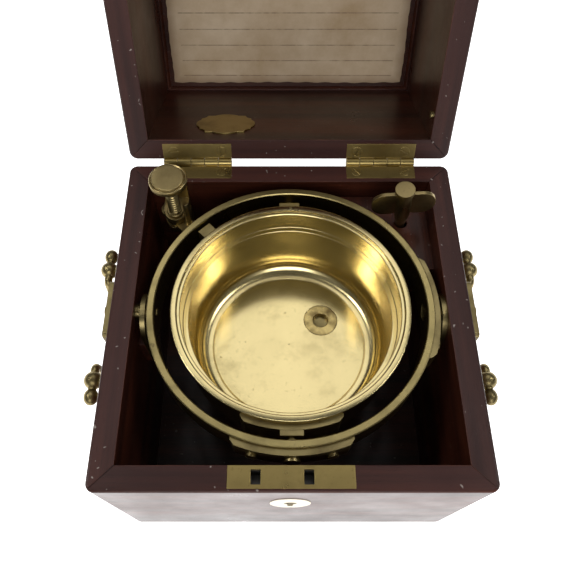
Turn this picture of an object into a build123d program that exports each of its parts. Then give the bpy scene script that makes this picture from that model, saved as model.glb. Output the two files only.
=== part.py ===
"""Marine chronometer case: boxed gimbals, empty brass bowl, gimbal lock and winding key.

All lengths are millimetres. The origin is the centre of the base's underside, +Z is up
and -Y is the front, where the box lock is. The lid is built shut and then swung open.
"""
from build123d import *
from math import atan2, cos, degrees, hypot, radians, sin, sqrt, tan
import os

# Box
BOX_SIZE = 185.0
WALL = 12.0
CASE_HEIGHT = 104.0
LID_DEPTH = 82.0
BASE_THICKNESS = 9.0
TOP_THICKNESS = 9.0
REBATE = 5.0
CORNER_ROUND = 4.5
EDGE_ROUND = 1.2
RIM_GAP = 0.2

# Butt hinges
LID_ANGLE = 113.2
HINGE_SPACING = 106.0
HINGE_LENGTH = 39.5
HINGE_SETBACK = 1.9
LEAF_WIDTH = 9.5
LEAF_THICKNESS = 1.6
KNUCKLE_RADIUS = 2.8
KNUCKLE_COUNT = 5
KNUCKLE_GAP = 0.12
HINGE_PIN_RADIUS = 1.2
HINGE_SCREW_SPACING = 27.4
HINGE_SCREW_RADIUS = 2.9

# Box lock
LOCK_CENTRE_X = -0.5
LOCK_PLATE_LENGTH = 57.5
LOCK_PLATE_WIDTH = 10.3
LOCK_PLATE_THICKNESS = 2.0
LOCK_SLOT_WIDTH = 4.5
LOCK_SLOT_LENGTH = 6.6
LOCK_SLOT_X = (-16.0, 8.0)
LOCK_CASE_LENGTH = 54.0
LOCK_CASE_THICKNESS = 8.0
LOCK_CASE_HEIGHT = 42.0
LOCK_CASE_WALL = 1.0
LINK_THICKNESS = 3.2
LINK_WIDTH = 5.6
LINK_DROP = 9.5
LINK_EYE_WIDTH = 3.2
LINK_EYE_HEIGHT = 4.4
BOLT_TRAVEL = 4.5
BOLT_SIDE_GAP = 0.1
BOLT_TIP_GAP = 0.5
KEYHOLE_DROP = 29.0
KEYHOLE_RADIUS = 3.1
DRILL_PIN_RADIUS = 1.1
ESCUTCHEON_WIDTH = 20.0
ESCUTCHEON_HEIGHT = 26.0
ESCUTCHEON_THICKNESS = 1.6
ESCUTCHEON_PROUD = 0.3

# Gimbals
PIVOT_DROP = 7.0
RING_WALL_GAP = 7.2
RING_THICKNESS = 3.8
RING_TOP_ABOVE_RIM = 2.7
RING_HEIGHT = 19.0
RING_PLATE_THICKNESS = 3.1
RING_PLATE_LENGTH = 57.4
RING_PLATE_HEIGHT = 15.0
RING_SCREW_SPACING = 37.6
PIVOT_RADIUS = 2.25
PIVOT_SHANK_RADIUS = 2.5
PIVOT_CLEARANCE = 0.05
PIVOT_HOLE_RADIUS = 4.5
PIVOT_NUT_RADIUS = 4.3
PIVOT_NUT_HEIGHT = 1.6
BRACKET_WIDTH = 26.0
BRACKET_THICKNESS = 2.6
BRACKET_TOP_DROP = 1.0
BRACKET_BOTTOM_DROP = 42.0
BRACKET_SCREW_DROPS = (25.0, 36.0)
LEFT_BRACKET_STANDOFF = 3.1
LEFT_PACKING_TOP_DROP = 20.0
FASTENER_HEAD_RADIUS = 3.0
FASTENER_HEAD_HEIGHT = 1.6
SLOT_WIDTH = 0.8

# Bowl
BOWL_RING_GAP = 8.2
BOWL_RIM_ABOVE = 2.8
BOWL_RIM_HEIGHT = 4.0
BOWL_RIM_STEP_WIDTH = 3.1
BOWL_RIM_STEP_DEPTH = 1.6
BOWL_RIM_OVERHANG = 2.8
BOWL_MOUTH_INSET = 4.8
BOWL_LEDGE_INSET = 7.5
BOWL_LEDGE_DROP = 11.0
BOWL_WELL_INSET = 8.0
BOWL_COVE_DROP = 40.0
BOWL_FLOOR_INSET = 15.3
BOWL_FLOOR_DROP = 48.8
BOWL_FLOOR_THICKNESS = 3.2
BOWL_HEEL_RADIUS = 18.0
BOWL_GROOVE_INSET = 16.8
BOWL_GROOVE_WIDTH = 0.6
BOWL_GROOVE_DEPTH = 0.5
BOWL_PLATE_LENGTH = 49.0
BOWL_PLATE_STEP = 2.7
BOWL_PLATE_TOP_DROP = 1.5
BOWL_PLATE_BOTTOM_DROP = 31.0
BOWL_SCREW_SPACING = 31.0
BOWL_SCREW_DROP = 26.0
PIVOT_BLOCK_WIDTH = 11.2
PIVOT_BLOCK_HEIGHT = 10.4
PIVOT_BLOCK_STEP = 5.3
PLATE_END_CHAMFER = 2.0
WINDING_HOLE_RADIUS = 4.4
WINDING_BUSH_RADIUS = 9.9
SHUTTER_MARGIN = 5.0
SHUTTER_THICKNESS = 1.4
SHUTTER_GAP = 0.25
SHUTTER_TRAVEL = 62.0
SHUTTER_NOTCH_COUNT = 12
SHUTTER_NOTCH_RADIUS = 3.0
SHUTTER_STUD_RADIUS = 2.5
SHUTTER_STUD_DEPTH = 1.6
SHUTTER_HEAD_RADIUS = 6.0
SHUTTER_SPRING_RADIUS = 3.7
SHUTTER_WIRE_RADIUS = 0.45

# Gimbal lock
KNOB_FROM_SIDE = 14.5
KNOB_FROM_BACK = 12.0
KNOB_RADIUS = 10.4
KNOB_HEIGHT = 5.0
KNOB_ABOVE_RIM = 18.0
KNOB_BUTTON_RADIUS = 8.8
KNOB_BUTTON_HEIGHT = 1.0
COLUMN_RADIUS = 3.6
COLLAR_RADIUS = 5.0
COLLAR_HEIGHT = 2.0
CLAMP_SHANK_RADIUS = 2.5
CLAMP_CLEARANCE = 0.08
ARM_WIDTH = 9.0
ARM_THICKNESS = 3.0
ARM_RING_GAP = 0.7
ARM_TRAVEL = 8.0
ARM_UNDER_RING = 0.35
ARM_SIDE_GAP = 0.1
ARM_PIN_OFFSET = 8.6
ARM_PIN_SIDE = 2.4
ARM_PIN_RADIUS = 2.0
ARM_PIN_HEIGHT = 18.0
LEDGE_RADIUS = 6.2
LEDGE_THICKNESS = 4.4
LOCK_BRACKET_THICKNESS = 1.9
LOCK_BRACKET_WIDTH = 14.0
LOCK_BRACKET_ABOVE_RIM = 2.0
LOCK_BRACKET_BOTTOM_DROP = 40.0
LUG_WIDTH = 8.0
LUG_STEP = 6.9
LUG_TOP_DROP = 0.5
LUG_ABOVE_ARM = 0.35

# Winding key and the corner block it stands in
KEY_BLOCK_TOP_DROP = 14.0
KEY_BLOCK_HEIGHT = 26.0
KEY_BLOCK_LENGTH = 50.0
KEY_BLOCK_RING_GAP = 4.2
KEY_LEAN_X = -5.2
KEY_LEAN_Y = -0.6
KEY_HOLE_RADIUS = 3.6
KEY_HOLE_DEPTH = 14.0
KEY_SHANK_DEPTH = 12.0
KEY_SHANK_RADIUS = 2.6
KEY_SOCKET = 3.2
KEY_SOCKET_DEPTH = 10.0
KEY_BARREL_BOTTOM = 10.0
KEY_BARREL_TOP = 29.3
KEY_BARREL_RADIUS = 4.4
KEY_CAP_RADIUS = 5.3
KEY_CAP_HEIGHT = 2.0
KEY_WING_BOTTOM = 9.0
KEY_WING_TOP = 29.6
KEY_WING_THICKNESS = 2.0
KEY_SPIGOT_RADIUS = 3.0
KEY_SPIGOT_LENGTH = 10.0

# Drop handles
HANDLE_DROP = 20.0
HANDLE_EYE_SPACING = 66.0
HANDLE_STANDOFF = 9.5
HANDLE_ROD_RADIUS = 2.2
HANDLE_ROD_CLEARANCE = 0.08
HANDLE_EYE_RADIUS = 4.8
HANDLE_EYE_WIDTH = 8.4
HANDLE_NECK_RADIUS = 3.0
HANDLE_ROSE_RADIUS = 7.5
HANDLE_ROSE_HEIGHT = 1.8
BAIL_SHOULDER_GAP = 3.3
BAIL_DEPTH = 26.0
BAIL_TAPER = 5.0
BAIL_BEND_RADIUS = 7.0
FINIAL_RADIUS = 3.7
FINIAL_LENGTH = 9.0
SIDE_PLATE_LENGTH = 32.0
SIDE_PLATE_HEIGHT = 10.0
SIDE_PLATE_THICKNESS = 2.6
SIDE_PLATE_DROP = 1.5
SIDE_SCREW_RADIUS = 3.2
SIDE_SCREW_HEIGHT = 1.2

# Lid fittings
CARD_MARGIN = 4.2
CARD_THICKNESS = 0.5
MOULDING_RADIUS = 2.2
PLAQUE_X = -37.6
PLAQUE_WIDTH = 35.0
PLAQUE_HEIGHT = 28.0
PLAQUE_FROM_RIM = 21.8
PLAQUE_THICKNESS = 0.8
STUD_FROM_BACK = 25.0
STUD_FROM_RIM = 4.0
STUD_RADIUS = 2.0
STUD_HEIGHT = 1.6
SCREW_LENGTH = 6.0

# Worked out from the sizes above
HALF = BOX_SIZE / 2
INNER = HALF - WALL
LID_HEIGHT = LID_DEPTH + TOP_THICKNESS
LID_BASE = CASE_HEIGHT + RIM_GAP
HINGE_Y = HALF + HINGE_SETBACK
HINGE_Z = CASE_HEIGHT + RIM_GAP / 2
HINGES = {"left": -HINGE_SPACING / 2, "right": HINGE_SPACING / 2}
PIVOT_Z = CASE_HEIGHT - PIVOT_DROP
RING_OUTER_RADIUS = INNER - RING_WALL_GAP
RING_INNER_RADIUS = RING_OUTER_RADIUS - RING_THICKNESS
RING_TOP = CASE_HEIGHT + RING_TOP_ABOVE_RIM
RING_BOTTOM = RING_TOP - RING_HEIGHT
RING_PLATE_RADIUS = RING_OUTER_RADIUS + RING_PLATE_THICKNESS
BOWL_BOTTOM = CASE_HEIGHT - BOWL_FLOOR_DROP - BOWL_FLOOR_THICKNESS
BOWL_RIM_RADIUS = RING_INNER_RADIUS - BOWL_RING_GAP
BOWL_RIM_STEP_RADIUS = BOWL_RIM_RADIUS - BOWL_RIM_STEP_WIDTH
BOWL_BODY_RADIUS = BOWL_RIM_RADIUS - BOWL_RIM_OVERHANG
BOWL_MOUTH_RADIUS = BOWL_RIM_RADIUS - BOWL_MOUTH_INSET
BOWL_LEDGE_RADIUS = BOWL_RIM_RADIUS - BOWL_LEDGE_INSET
BOWL_WELL_RADIUS = BOWL_RIM_RADIUS - BOWL_WELL_INSET
BOWL_FLOOR_RADIUS = BOWL_RIM_RADIUS - BOWL_FLOOR_INSET
BOWL_GROOVE_RADIUS = BOWL_RIM_RADIUS - BOWL_GROOVE_INSET
BOWL_PLATE_OUTER_RADIUS = BOWL_RIM_RADIUS + BOWL_PLATE_STEP
PIVOT_BLOCK_OUTER_RADIUS = BOWL_RIM_RADIUS + PIVOT_BLOCK_STEP
LUG_OUTER_RADIUS = BOWL_RIM_RADIUS + LUG_STEP
WINDING_HOLE_X = BOWL_FLOOR_RADIUS * 0.415
WINDING_HOLE_Y = BOWL_FLOOR_RADIUS * 0.341
SHUTTER_RADIUS = hypot(WINDING_HOLE_X, WINDING_HOLE_Y) + WINDING_HOLE_RADIUS + SHUTTER_MARGIN
KNOB_X = -INNER + KNOB_FROM_SIDE
KNOB_Y = INNER - KNOB_FROM_BACK
LOCK_RADIUS = hypot(KNOB_X, KNOB_Y)
LOCK_ANGLE = degrees(atan2(KNOB_Y, KNOB_X))
ARM_TIP_RADIUS = RING_OUTER_RADIUS + ARM_RING_GAP
ARM_TOP = RING_BOTTOM - ARM_UNDER_RING
ARM_BOTTOM = ARM_TOP - ARM_THICKNESS
UPPER_LEDGE = ARM_TOP + ARM_SIDE_GAP
LOWER_LEDGE = ARM_BOTTOM - ARM_SIDE_GAP
KEY_BLOCK_TOP = CASE_HEIGHT - KEY_BLOCK_TOP_DROP
KEY_BLOCK_START = INNER - KEY_BLOCK_LENGTH
KEY_BLOCK_CURVE_RADIUS = RING_OUTER_RADIUS + KEY_BLOCK_RING_GAP
KEY_FOOT_X = INNER * 0.8
KEY_FOOT_Y = INNER * 0.765
KEY_WING_SPAN = INNER * 0.43
LOCK_Y = -HALF + WALL - LOCK_PLATE_WIDTH / 2
EYE_Z = LID_BASE - LINK_DROP + (LINK_WIDTH - LINK_EYE_WIDTH) / 2 + LINK_EYE_HEIGHT / 2
HANDLE_Z = CASE_HEIGHT - HANDLE_DROP
HANDLE_X = HALF + HANDLE_STANDOFF


def block(x, y, z):
    """A box from low and high ends on each axis."""
    size = [max(r) - min(r) for r in (x, y, z)]
    middle = [(max(r) + min(r)) / 2 for r in (x, y, z)]
    return Pos(*middle) * Box(*size)


def post(radius, bottom, top, x=0.0, y=0.0):
    """An upright cylinder from one height to another."""
    return Pos(x, y, (bottom + top) / 2) * Cylinder(radius, top - bottom)


def rod_x(radius, start, end, y=0.0, z=0.0):
    """A cylinder that lies along X."""
    return Pos((start + end) / 2, y, z) * Rot(0, 90, 0) * Cylinder(radius, abs(end - start))


def rod_y(radius, start, end, x=0.0, z=0.0):
    """A cylinder that lies along Y."""
    return Pos(x, (start + end) / 2, z) * Rot(90, 0, 0) * Cylinder(radius, abs(end - start))


def solids(*pieces):
    """Separate solids kept side by side in one node."""
    return Compound(children=[solid for piece in pieces for solid in piece.solids()])


def swing_open(piece):
    """Turn a piece of the shut lid about the hinge line to the open position."""
    return Pos(0, HINGE_Y, HINGE_Z) * Rot(-LID_ANGLE, 0, 0) * Pos(0, -HINGE_Y, -HINGE_Z) * piece


def wall_wedge(side, height):
    """The mitred quarter of the box that holds one wall; side 0 is the front."""
    reach = BOX_SIZE
    wedge = extrude(Polygon((0, 0), (-reach, -reach), (reach, -reach), align=None), height)
    return Rot(0, 0, 90 * side) * wedge


def wall_frame(height, rebate_low, rebate_high):
    """Four walls as one, with eased edges and a rebate for the base or the top panel."""
    frame = extrude(RectangleRounded(BOX_SIZE, BOX_SIZE, CORNER_ROUND), height)
    frame = fillet(frame.edges().group_by(Axis.Z)[0] + frame.edges().group_by(Axis.Z)[-1], EDGE_ROUND)
    frame -= block((-INNER, INNER), (-INNER, INNER), (0, height))
    reach = INNER + REBATE
    return frame - block((-reach, reach), (-reach, reach), (rebate_low, rebate_high))


def hinge_barrel_cut(x):
    """The groove that both back walls have for one hinge's barrel."""
    radius = KNUCKLE_RADIUS + KNUCKLE_GAP
    half = HINGE_LENGTH / 2 + KNUCKLE_GAP
    return rod_x(radius, x - half, x + half, HINGE_Y, HINGE_Z)


def leaf_recess(x, bottom, top):
    """The shallow seat of one hinge leaf in a rim."""
    half = HINGE_LENGTH / 2
    return block((x - half, x + half), (HALF - LEAF_WIDTH, HINGE_Y), (bottom, top))


def make_case_walls():
    """Front, back, left and right walls of the case."""
    frame = wall_frame(CASE_HEIGHT, 0, BASE_THICKNESS)
    walls = [frame & wall_wedge(side, CASE_HEIGHT) for side in range(4)]
    front, right, back, left = walls
    for x in HINGES.values():
        back -= hinge_barrel_cut(x)
        back -= leaf_recess(x, CASE_HEIGHT - LEAF_THICKNESS, CASE_HEIGHT)
    front -= lock_plate_blank()
    front -= lock_case_blank()
    front -= keyhole(-HALF, LOCK_Y)
    front -= escutcheon_blank()
    return {"front_board": front, "right_board": right, "back_board": back, "left_board": left}


def make_base_board():
    """The base, let into the rebate under the walls."""
    reach = INNER + REBATE
    return block((-reach, reach), (-reach, reach), (0, BASE_THICKNESS))


def make_lid_walls():
    """The four deep walls of the lid."""
    frame = Pos(0, 0, LID_BASE) * wall_frame(LID_HEIGHT, LID_DEPTH, LID_HEIGHT)
    walls = [frame & Pos(0, 0, LID_BASE) * wall_wedge(side, LID_HEIGHT) for side in range(4)]
    front, right, back, left = walls
    for x in HINGES.values():
        back -= hinge_barrel_cut(x)
        back -= leaf_recess(x, LID_BASE, LID_BASE + LEAF_THICKNESS)
    front -= striker_blank()
    names = ("lid_front_board", "lid_right_board", "lid_back_board", "lid_left_board")
    return dict(zip(names, (front, right, back, left)))


def make_lid_panel():
    """The top panel of the lid, let into its rebate."""
    reach = INNER + REBATE
    low = LID_BASE + LID_DEPTH
    return block((-reach, reach), (-reach, reach), (low, low + TOP_THICKNESS))


def make_card():
    """The certificate card under the lid's top panel."""
    reach = INNER - CARD_MARGIN
    top = LID_BASE + LID_DEPTH
    return block((-reach, reach), (-reach, reach), (top - CARD_THICKNESS, top))


def make_card_moulding():
    """Quarter-round strips in the corner between the lid's walls and its panel."""
    top = LID_BASE + LID_DEPTH
    strip = block((-INNER, INNER), (-INNER, INNER), (top - MOULDING_RADIUS, top))
    hollow = INNER - MOULDING_RADIUS
    strip -= block((-hollow, hollow), (-hollow, hollow), (top - MOULDING_RADIUS, top))
    inner_edges = strip.edges().group_by(Axis.Z)[0].filter_by(lambda e: e.length < 2 * INNER - MOULDING_RADIUS)
    return chamfer(inner_edges, MOULDING_RADIUS * 0.6)


def make_plaque():
    """The cartouche on the lid's back wall: a waisted plate with horned ends."""
    half_w, half_h = PLAQUE_WIDTH / 2, PLAQUE_HEIGHT / 2
    outline = Rectangle(PLAQUE_WIDTH * 0.86, PLAQUE_HEIGHT * 0.84)
    for sign in (-1, 1):
        outline += Pos(0, sign * half_h * 0.58) * Ellipse(half_w * 0.52, half_h * 0.42)
        outline += Pos(sign * half_w * 0.62, 0) * Ellipse(half_w * 0.38, half_h * 0.5)
        for other in (-1, 1):
            outline -= Pos(sign * half_w * 0.93, other * half_h * 0.86) * Circle(half_h * 0.34)
    plate = extrude(outline, PLAQUE_THICKNESS)
    z = LID_BASE + PLAQUE_FROM_RIM
    return Pos(PLAQUE_X, INNER, z) * Rot(90, 0, 0) * plate


def make_lid_stud():
    """The small brass stud on the right wall of the lid."""
    return rod_x(STUD_RADIUS, INNER - STUD_HEIGHT, INNER, HALF - STUD_FROM_BACK, LID_BASE + STUD_FROM_RIM)


def make_hinge_leaf(x, on_lid):
    """One leaf with its knuckles; the case leaf has the outer and middle knuckles."""
    half = HINGE_LENGTH / 2
    pitch = HINGE_LENGTH / KNUCKLE_COUNT
    low = LID_BASE if on_lid else CASE_HEIGHT - LEAF_THICKNESS
    leaf = block((x - half, x + half), (HALF - LEAF_WIDTH, HINGE_Y), (low, low + LEAF_THICKNESS))
    for index in range(KNUCKLE_COUNT):
        start = x - half + index * pitch
        end = start + pitch
        if (index % 2 == 1) == on_lid:
            leaf += rod_x(KNUCKLE_RADIUS, start + KNUCKLE_GAP, end - KNUCKLE_GAP, HINGE_Y, HINGE_Z)
        else:
            relief = KNUCKLE_RADIUS + KNUCKLE_GAP
            leaf -= rod_x(relief, start - KNUCKLE_GAP, end + KNUCKLE_GAP, HINGE_Y, HINGE_Z)
    hole = HINGE_PIN_RADIUS + (PIVOT_CLEARANCE if on_lid else 0)
    leaf -= rod_x(hole, x - half, x + half, HINGE_Y, HINGE_Z)
    for offset in (-HINGE_SCREW_SPACING / 2, HINGE_SCREW_SPACING / 2):
        leaf -= hinge_screw(x + offset, on_lid)
    return leaf


def hinge_screw(x, on_lid):
    """A countersunk screw's head and a stub of its shank, flush with a leaf."""
    y = HALF - LEAF_WIDTH * 0.52
    face = LID_BASE if on_lid else CASE_HEIGHT
    inward = 1 if on_lid else -1
    head = Cone(HINGE_SCREW_RADIUS, HINGE_SCREW_RADIUS * 0.5, LEAF_THICKNESS)
    turn = Rot(0, 0, 0) if on_lid else Rot(180, 0, 0)
    return Pos(x, y, face + inward * LEAF_THICKNESS / 2) * turn * head


def make_hinge_screws(on_lid):
    """All four screws of one side of the hinges."""
    return solids(*[
        hinge_screw(x + offset, on_lid)
        for x in HINGES.values()
        for offset in (-HINGE_SCREW_SPACING / 2, HINGE_SCREW_SPACING / 2)
    ])


def make_hinge_pins():
    """The two hinge pins."""
    half = HINGE_LENGTH / 2
    return solids(*[
        rod_x(HINGE_PIN_RADIUS, x - half, x + half, HINGE_Y, HINGE_Z) for x in HINGES.values()
    ])


def lock_plate_blank():
    """The space of the lock's top plate, from the inner face towards the front."""
    half = LOCK_PLATE_LENGTH / 2
    x = (LOCK_CENTRE_X - half, LOCK_CENTRE_X + half)
    y = (-INNER - LOCK_PLATE_WIDTH, -INNER)
    return block(x, y, (CASE_HEIGHT - LOCK_PLATE_THICKNESS, CASE_HEIGHT))


def lock_case_blank(shrink=0.0):
    """The lock's case below its top plate, or its inside when shrunk by the wall."""
    half = LOCK_CASE_LENGTH / 2 - shrink
    thick = LOCK_CASE_THICKNESS / 2 - shrink
    top = CASE_HEIGHT - LOCK_PLATE_THICKNESS
    x = (LOCK_CENTRE_X - half, LOCK_CENTRE_X + half)
    return block(x, (LOCK_Y - thick, LOCK_Y + thick), (top - LOCK_CASE_HEIGHT + shrink, top))


def keyhole(y_start, y_end):
    """A round hole with a slot below it."""
    z = CASE_HEIGHT - KEYHOLE_DROP
    bow = rod_y(KEYHOLE_RADIUS, y_start, y_end, LOCK_CENTRE_X, z)
    half = KEYHOLE_RADIUS * 0.45
    slot = block((LOCK_CENTRE_X - half, LOCK_CENTRE_X + half), (y_start, y_end), (z - KEYHOLE_RADIUS * 2.6, z))
    return bow + slot


def make_lock_plate():
    """The lock's top plate with the two slots that take the lid's links."""
    plate = lock_plate_blank()
    for x in LOCK_SLOT_X:
        centre = LOCK_CENTRE_X + x
        half_w, half_l = LOCK_SLOT_WIDTH / 2, LOCK_SLOT_LENGTH / 2
        plate -= block((centre - half_w, centre + half_w), (LOCK_Y - half_l, LOCK_Y + half_l),
                       (0, CASE_HEIGHT))
    return plate


def bolt_rail_z():
    """The height of the rail that the bolt slides on."""
    return EYE_Z - LINK_EYE_HEIGHT * 3.2


def make_lock_case():
    """The lock's box with its bolt rail, drill pin and keyhole."""
    shell = lock_case_blank() - lock_case_blank(LOCK_CASE_WALL)
    inside = LOCK_CASE_THICKNESS / 2 - LOCK_CASE_WALL
    half = LOCK_CASE_LENGTH / 2 - LOCK_CASE_WALL
    rail_top = bolt_rail_z() - BOLT_SIDE_GAP
    gap = LOCK_CASE_LENGTH * 0.2
    for sign in (-1, 1):
        ends = sorted((LOCK_CENTRE_X + sign * gap, LOCK_CENTRE_X + sign * half))
        shell += block(ends, (LOCK_Y - inside, LOCK_Y + inside), (rail_top - LOCK_CASE_WALL * 2, rail_top))
    shell -= keyhole(-HALF, LOCK_Y - inside)
    pin_z = CASE_HEIGHT - KEYHOLE_DROP
    shell += rod_y(DRILL_PIN_RADIUS, LOCK_Y - inside, LOCK_Y + inside, LOCK_CENTRE_X, pin_z)
    return shell


def make_lock_bolt():
    """The sliding bolt: a bar, a finger beside each slot and a tail for the key."""
    thick = LOCK_CASE_THICKNESS / 2 - LOCK_CASE_WALL - BOLT_SIDE_GAP
    finger_thick = LINK_EYE_WIDTH / 2 - 0.4
    finger_half = LINK_EYE_HEIGHT / 2 - 0.9
    low = bolt_rail_z()
    top = LID_BASE - LINK_DROP - 0.8
    reach = LOCK_CASE_LENGTH / 2 - LOCK_CASE_WALL - BOLT_TRAVEL - BOLT_TIP_GAP
    finger = BOLT_TRAVEL - BOLT_TIP_GAP * 0.4
    tips = [LOCK_CENTRE_X + slot - LINK_THICKNESS / 2 - BOLT_TIP_GAP for slot in LOCK_SLOT_X]
    x = (tips[0] - finger - LINK_THICKNESS, LOCK_CENTRE_X + reach)
    y = (LOCK_Y - thick, LOCK_Y + thick)
    bolt = block(x, y, (low, top))
    for tip in tips:
        root = tip - finger
        column = root - LINK_THICKNESS
        bolt += block((column, root), y, (top, EYE_Z + finger_half))
        bolt += block((root, tip), (LOCK_Y - finger_thick, LOCK_Y + finger_thick),
                      (EYE_Z - finger_half, EYE_Z + finger_half))
    tail = LINK_WIDTH
    foot = low - LINK_DROP * 0.55
    bolt += block((LOCK_CENTRE_X - tail, LOCK_CENTRE_X + tail - BOLT_TRAVEL / 2), y, (foot, low))
    bolt -= rod_y(LINK_THICKNESS / 2, y[0], y[1], LOCK_CENTRE_X - BOLT_TRAVEL / 4, foot)
    return bolt


def striker_blank():
    """The seat of the striker plate in the lid's front rim."""
    half = LOCK_PLATE_LENGTH / 2
    x = (LOCK_CENTRE_X - half, LOCK_CENTRE_X + half)
    y = (-INNER - LOCK_PLATE_WIDTH, -INNER)
    return block(x, y, (LID_BASE, LID_BASE + LEAF_THICKNESS))


def make_striker():
    """The striker plate with two links that drop into the lock."""
    plate = striker_blank()
    for slot in LOCK_SLOT_X:
        x = LOCK_CENTRE_X + slot
        half_t, half_w = LINK_THICKNESS / 2, LINK_WIDTH / 2
        plate += block((x - half_t, x + half_t), (LOCK_Y - half_w, LOCK_Y + half_w),
                       (LID_BASE - LINK_DROP, LID_BASE))
        plate -= block((x - half_t, x + half_t),
                       (LOCK_Y - LINK_EYE_WIDTH / 2, LOCK_Y + LINK_EYE_WIDTH / 2),
                       (EYE_Z - LINK_EYE_HEIGHT / 2, EYE_Z + LINK_EYE_HEIGHT / 2))
    return plate


def escutcheon_blank():
    """The oval space of the keyhole plate, let into the front wall."""
    oval = extrude(Ellipse(ESCUTCHEON_WIDTH / 2, ESCUTCHEON_HEIGHT / 2), ESCUTCHEON_THICKNESS)
    y = -HALF - ESCUTCHEON_PROUD + ESCUTCHEON_THICKNESS
    return Pos(LOCK_CENTRE_X, y, CASE_HEIGHT - KEYHOLE_DROP) * Rot(90, 0, 0) * oval


def make_escutcheon():
    """The oval keyhole plate."""
    return escutcheon_blank() - keyhole(-HALF - ESCUTCHEON_PROUD, -HALF + ESCUTCHEON_THICKNESS)


def make_gimbal_ring():
    """The gimbal ring: a turned band with four pivot holes."""
    ring = post(RING_OUTER_RADIUS, RING_BOTTOM, RING_TOP) - post(RING_INNER_RADIUS, RING_BOTTOM, RING_TOP)
    ring = chamfer(ring.edges().filter_by(GeomType.CIRCLE), 0.5)
    fit = PIVOT_RADIUS + PIVOT_CLEARANCE
    ring -= rod_x(fit, -RING_OUTER_RADIUS, -RING_INNER_RADIUS + 1, 0, PIVOT_Z)
    ring -= rod_x(PIVOT_HOLE_RADIUS, RING_INNER_RADIUS - 1, RING_OUTER_RADIUS, 0, PIVOT_Z)
    ring -= rod_y(PIVOT_SHANK_RADIUS, RING_INNER_RADIUS - 1, RING_OUTER_RADIUS, 0, PIVOT_Z)
    ring -= rod_y(PIVOT_HOLE_RADIUS, -RING_OUTER_RADIUS, -RING_INNER_RADIUS + 1, 0, PIVOT_Z)
    return ring


def curved_plate(inner, outer, length, low, high):
    """A plate bent round the front of a ring, with bevelled ends."""
    plate = post(outer, low, high) - post(inner, low, high)
    half = length / 2
    plate &= block((-half, half), (-outer, 0), (low, high))
    ends = plate.edges().filter_by(Axis.Z).group_by(lambda e: round(hypot(e.center().X, e.center().Y), 1))
    return chamfer(ends[-1], PLATE_END_CHAMFER)


def make_ring_plate(turn, hole_radius):
    """A removable pivot plate screwed outside the ring."""
    half = RING_PLATE_HEIGHT / 2
    plate = curved_plate(RING_OUTER_RADIUS, RING_PLATE_RADIUS, RING_PLATE_LENGTH, PIVOT_Z - half, PIVOT_Z + half)
    plate -= rod_y(hole_radius, -RING_PLATE_RADIUS, -RING_OUTER_RADIUS + RING_THICKNESS, 0, PIVOT_Z)
    return Rot(0, 0, turn) * plate


def make_ring_plate_screws():
    """Two screws for each removable pivot plate, shanks sunk into plate and ring."""
    heads = [
        Rot(0, 0, turn) * plate_screw(RING_PLATE_RADIUS, sign * RING_SCREW_SPACING / 2, PIVOT_Z)
        for turn in (0, 90)
        for sign in (-1, 1)
    ]
    return solids(*heads)


def plate_screw(at_radius, sideways, z):
    """A slotted screw head that only just meets a curved plate."""
    angle = degrees(atan2(sideways, sqrt(at_radius ** 2 - sideways ** 2)))
    start = -at_radius - FASTENER_HEAD_HEIGHT
    half = SLOT_WIDTH / 2
    head = rod_y(FASTENER_HEAD_RADIUS, start, -at_radius, 0, z)
    head -= block((-half, half), (start, start + SLOT_WIDTH),
                  (z - FASTENER_HEAD_RADIUS, z + FASTENER_HEAD_RADIUS))
    return Rot(0, 0, angle) * head


def pivot_screw(nut_radius, nut_from, plate_outer, plate_inner, tip):
    """A pivot screw along -Y: head, shank in its plate, and a thinner bearing tip."""
    screw = rod_y(nut_radius, -nut_from, -plate_outer, 0, PIVOT_Z)
    screw += rod_y(PIVOT_SHANK_RADIUS, -plate_outer, -plate_inner, 0, PIVOT_Z)
    return screw + rod_y(PIVOT_RADIUS, -plate_inner, -tip, 0, PIVOT_Z)


def make_front_bowl_pivot():
    """The bowl's front pivot, screwed through the front ring plate."""
    nut = RING_PLATE_RADIUS + PIVOT_NUT_HEIGHT
    tip = BOWL_PLATE_OUTER_RADIUS + RING_PLATE_THICKNESS * 0.3
    return pivot_screw(PIVOT_NUT_RADIUS, nut, RING_PLATE_RADIUS, RING_OUTER_RADIUS, tip)


def make_back_bowl_pivot():
    """The bowl's back pivot, screwed through the ring itself."""
    nut = RING_OUTER_RADIUS + PIVOT_NUT_HEIGHT
    tip = BOWL_PLATE_OUTER_RADIUS + RING_PLATE_THICKNESS * 0.3
    return Rot(0, 0, 180) * pivot_screw(PIVOT_NUT_RADIUS, nut, RING_OUTER_RADIUS, RING_INNER_RADIUS, tip)


def left_bracket_face():
    """The ring-side face of the left bracket, as a distance from the middle."""
    return INNER - LEFT_BRACKET_STANDOFF - BRACKET_THICKNESS


def make_bracket(outer_face):
    """A round-topped upright plate, standing with its outer face at outer_face on +X."""
    radius = BRACKET_WIDTH / 2
    top = CASE_HEIGHT - BRACKET_TOP_DROP
    low = CASE_HEIGHT - BRACKET_BOTTOM_DROP
    x = (outer_face - BRACKET_THICKNESS, outer_face)
    plate = block(x, (-radius, radius), (low, top - radius)) + rod_x(radius, *x, 0, top - radius)
    plate -= rod_x(PIVOT_SHANK_RADIUS, *x, 0, PIVOT_Z)
    for drop in BRACKET_SCREW_DROPS:
        plate -= bracket_screw(outer_face - BRACKET_THICKNESS, CASE_HEIGHT - drop)
    return plate


def bracket_screw(face, z):
    """A countersunk wood screw's head, flush with a bracket's face on +X."""
    head = Cone(HINGE_SCREW_RADIUS * 0.5, HINGE_SCREW_RADIUS, LEAF_THICKNESS)
    return Pos(face + LEAF_THICKNESS / 2, 0, z) * Rot(0, -90, 0) * head


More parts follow.
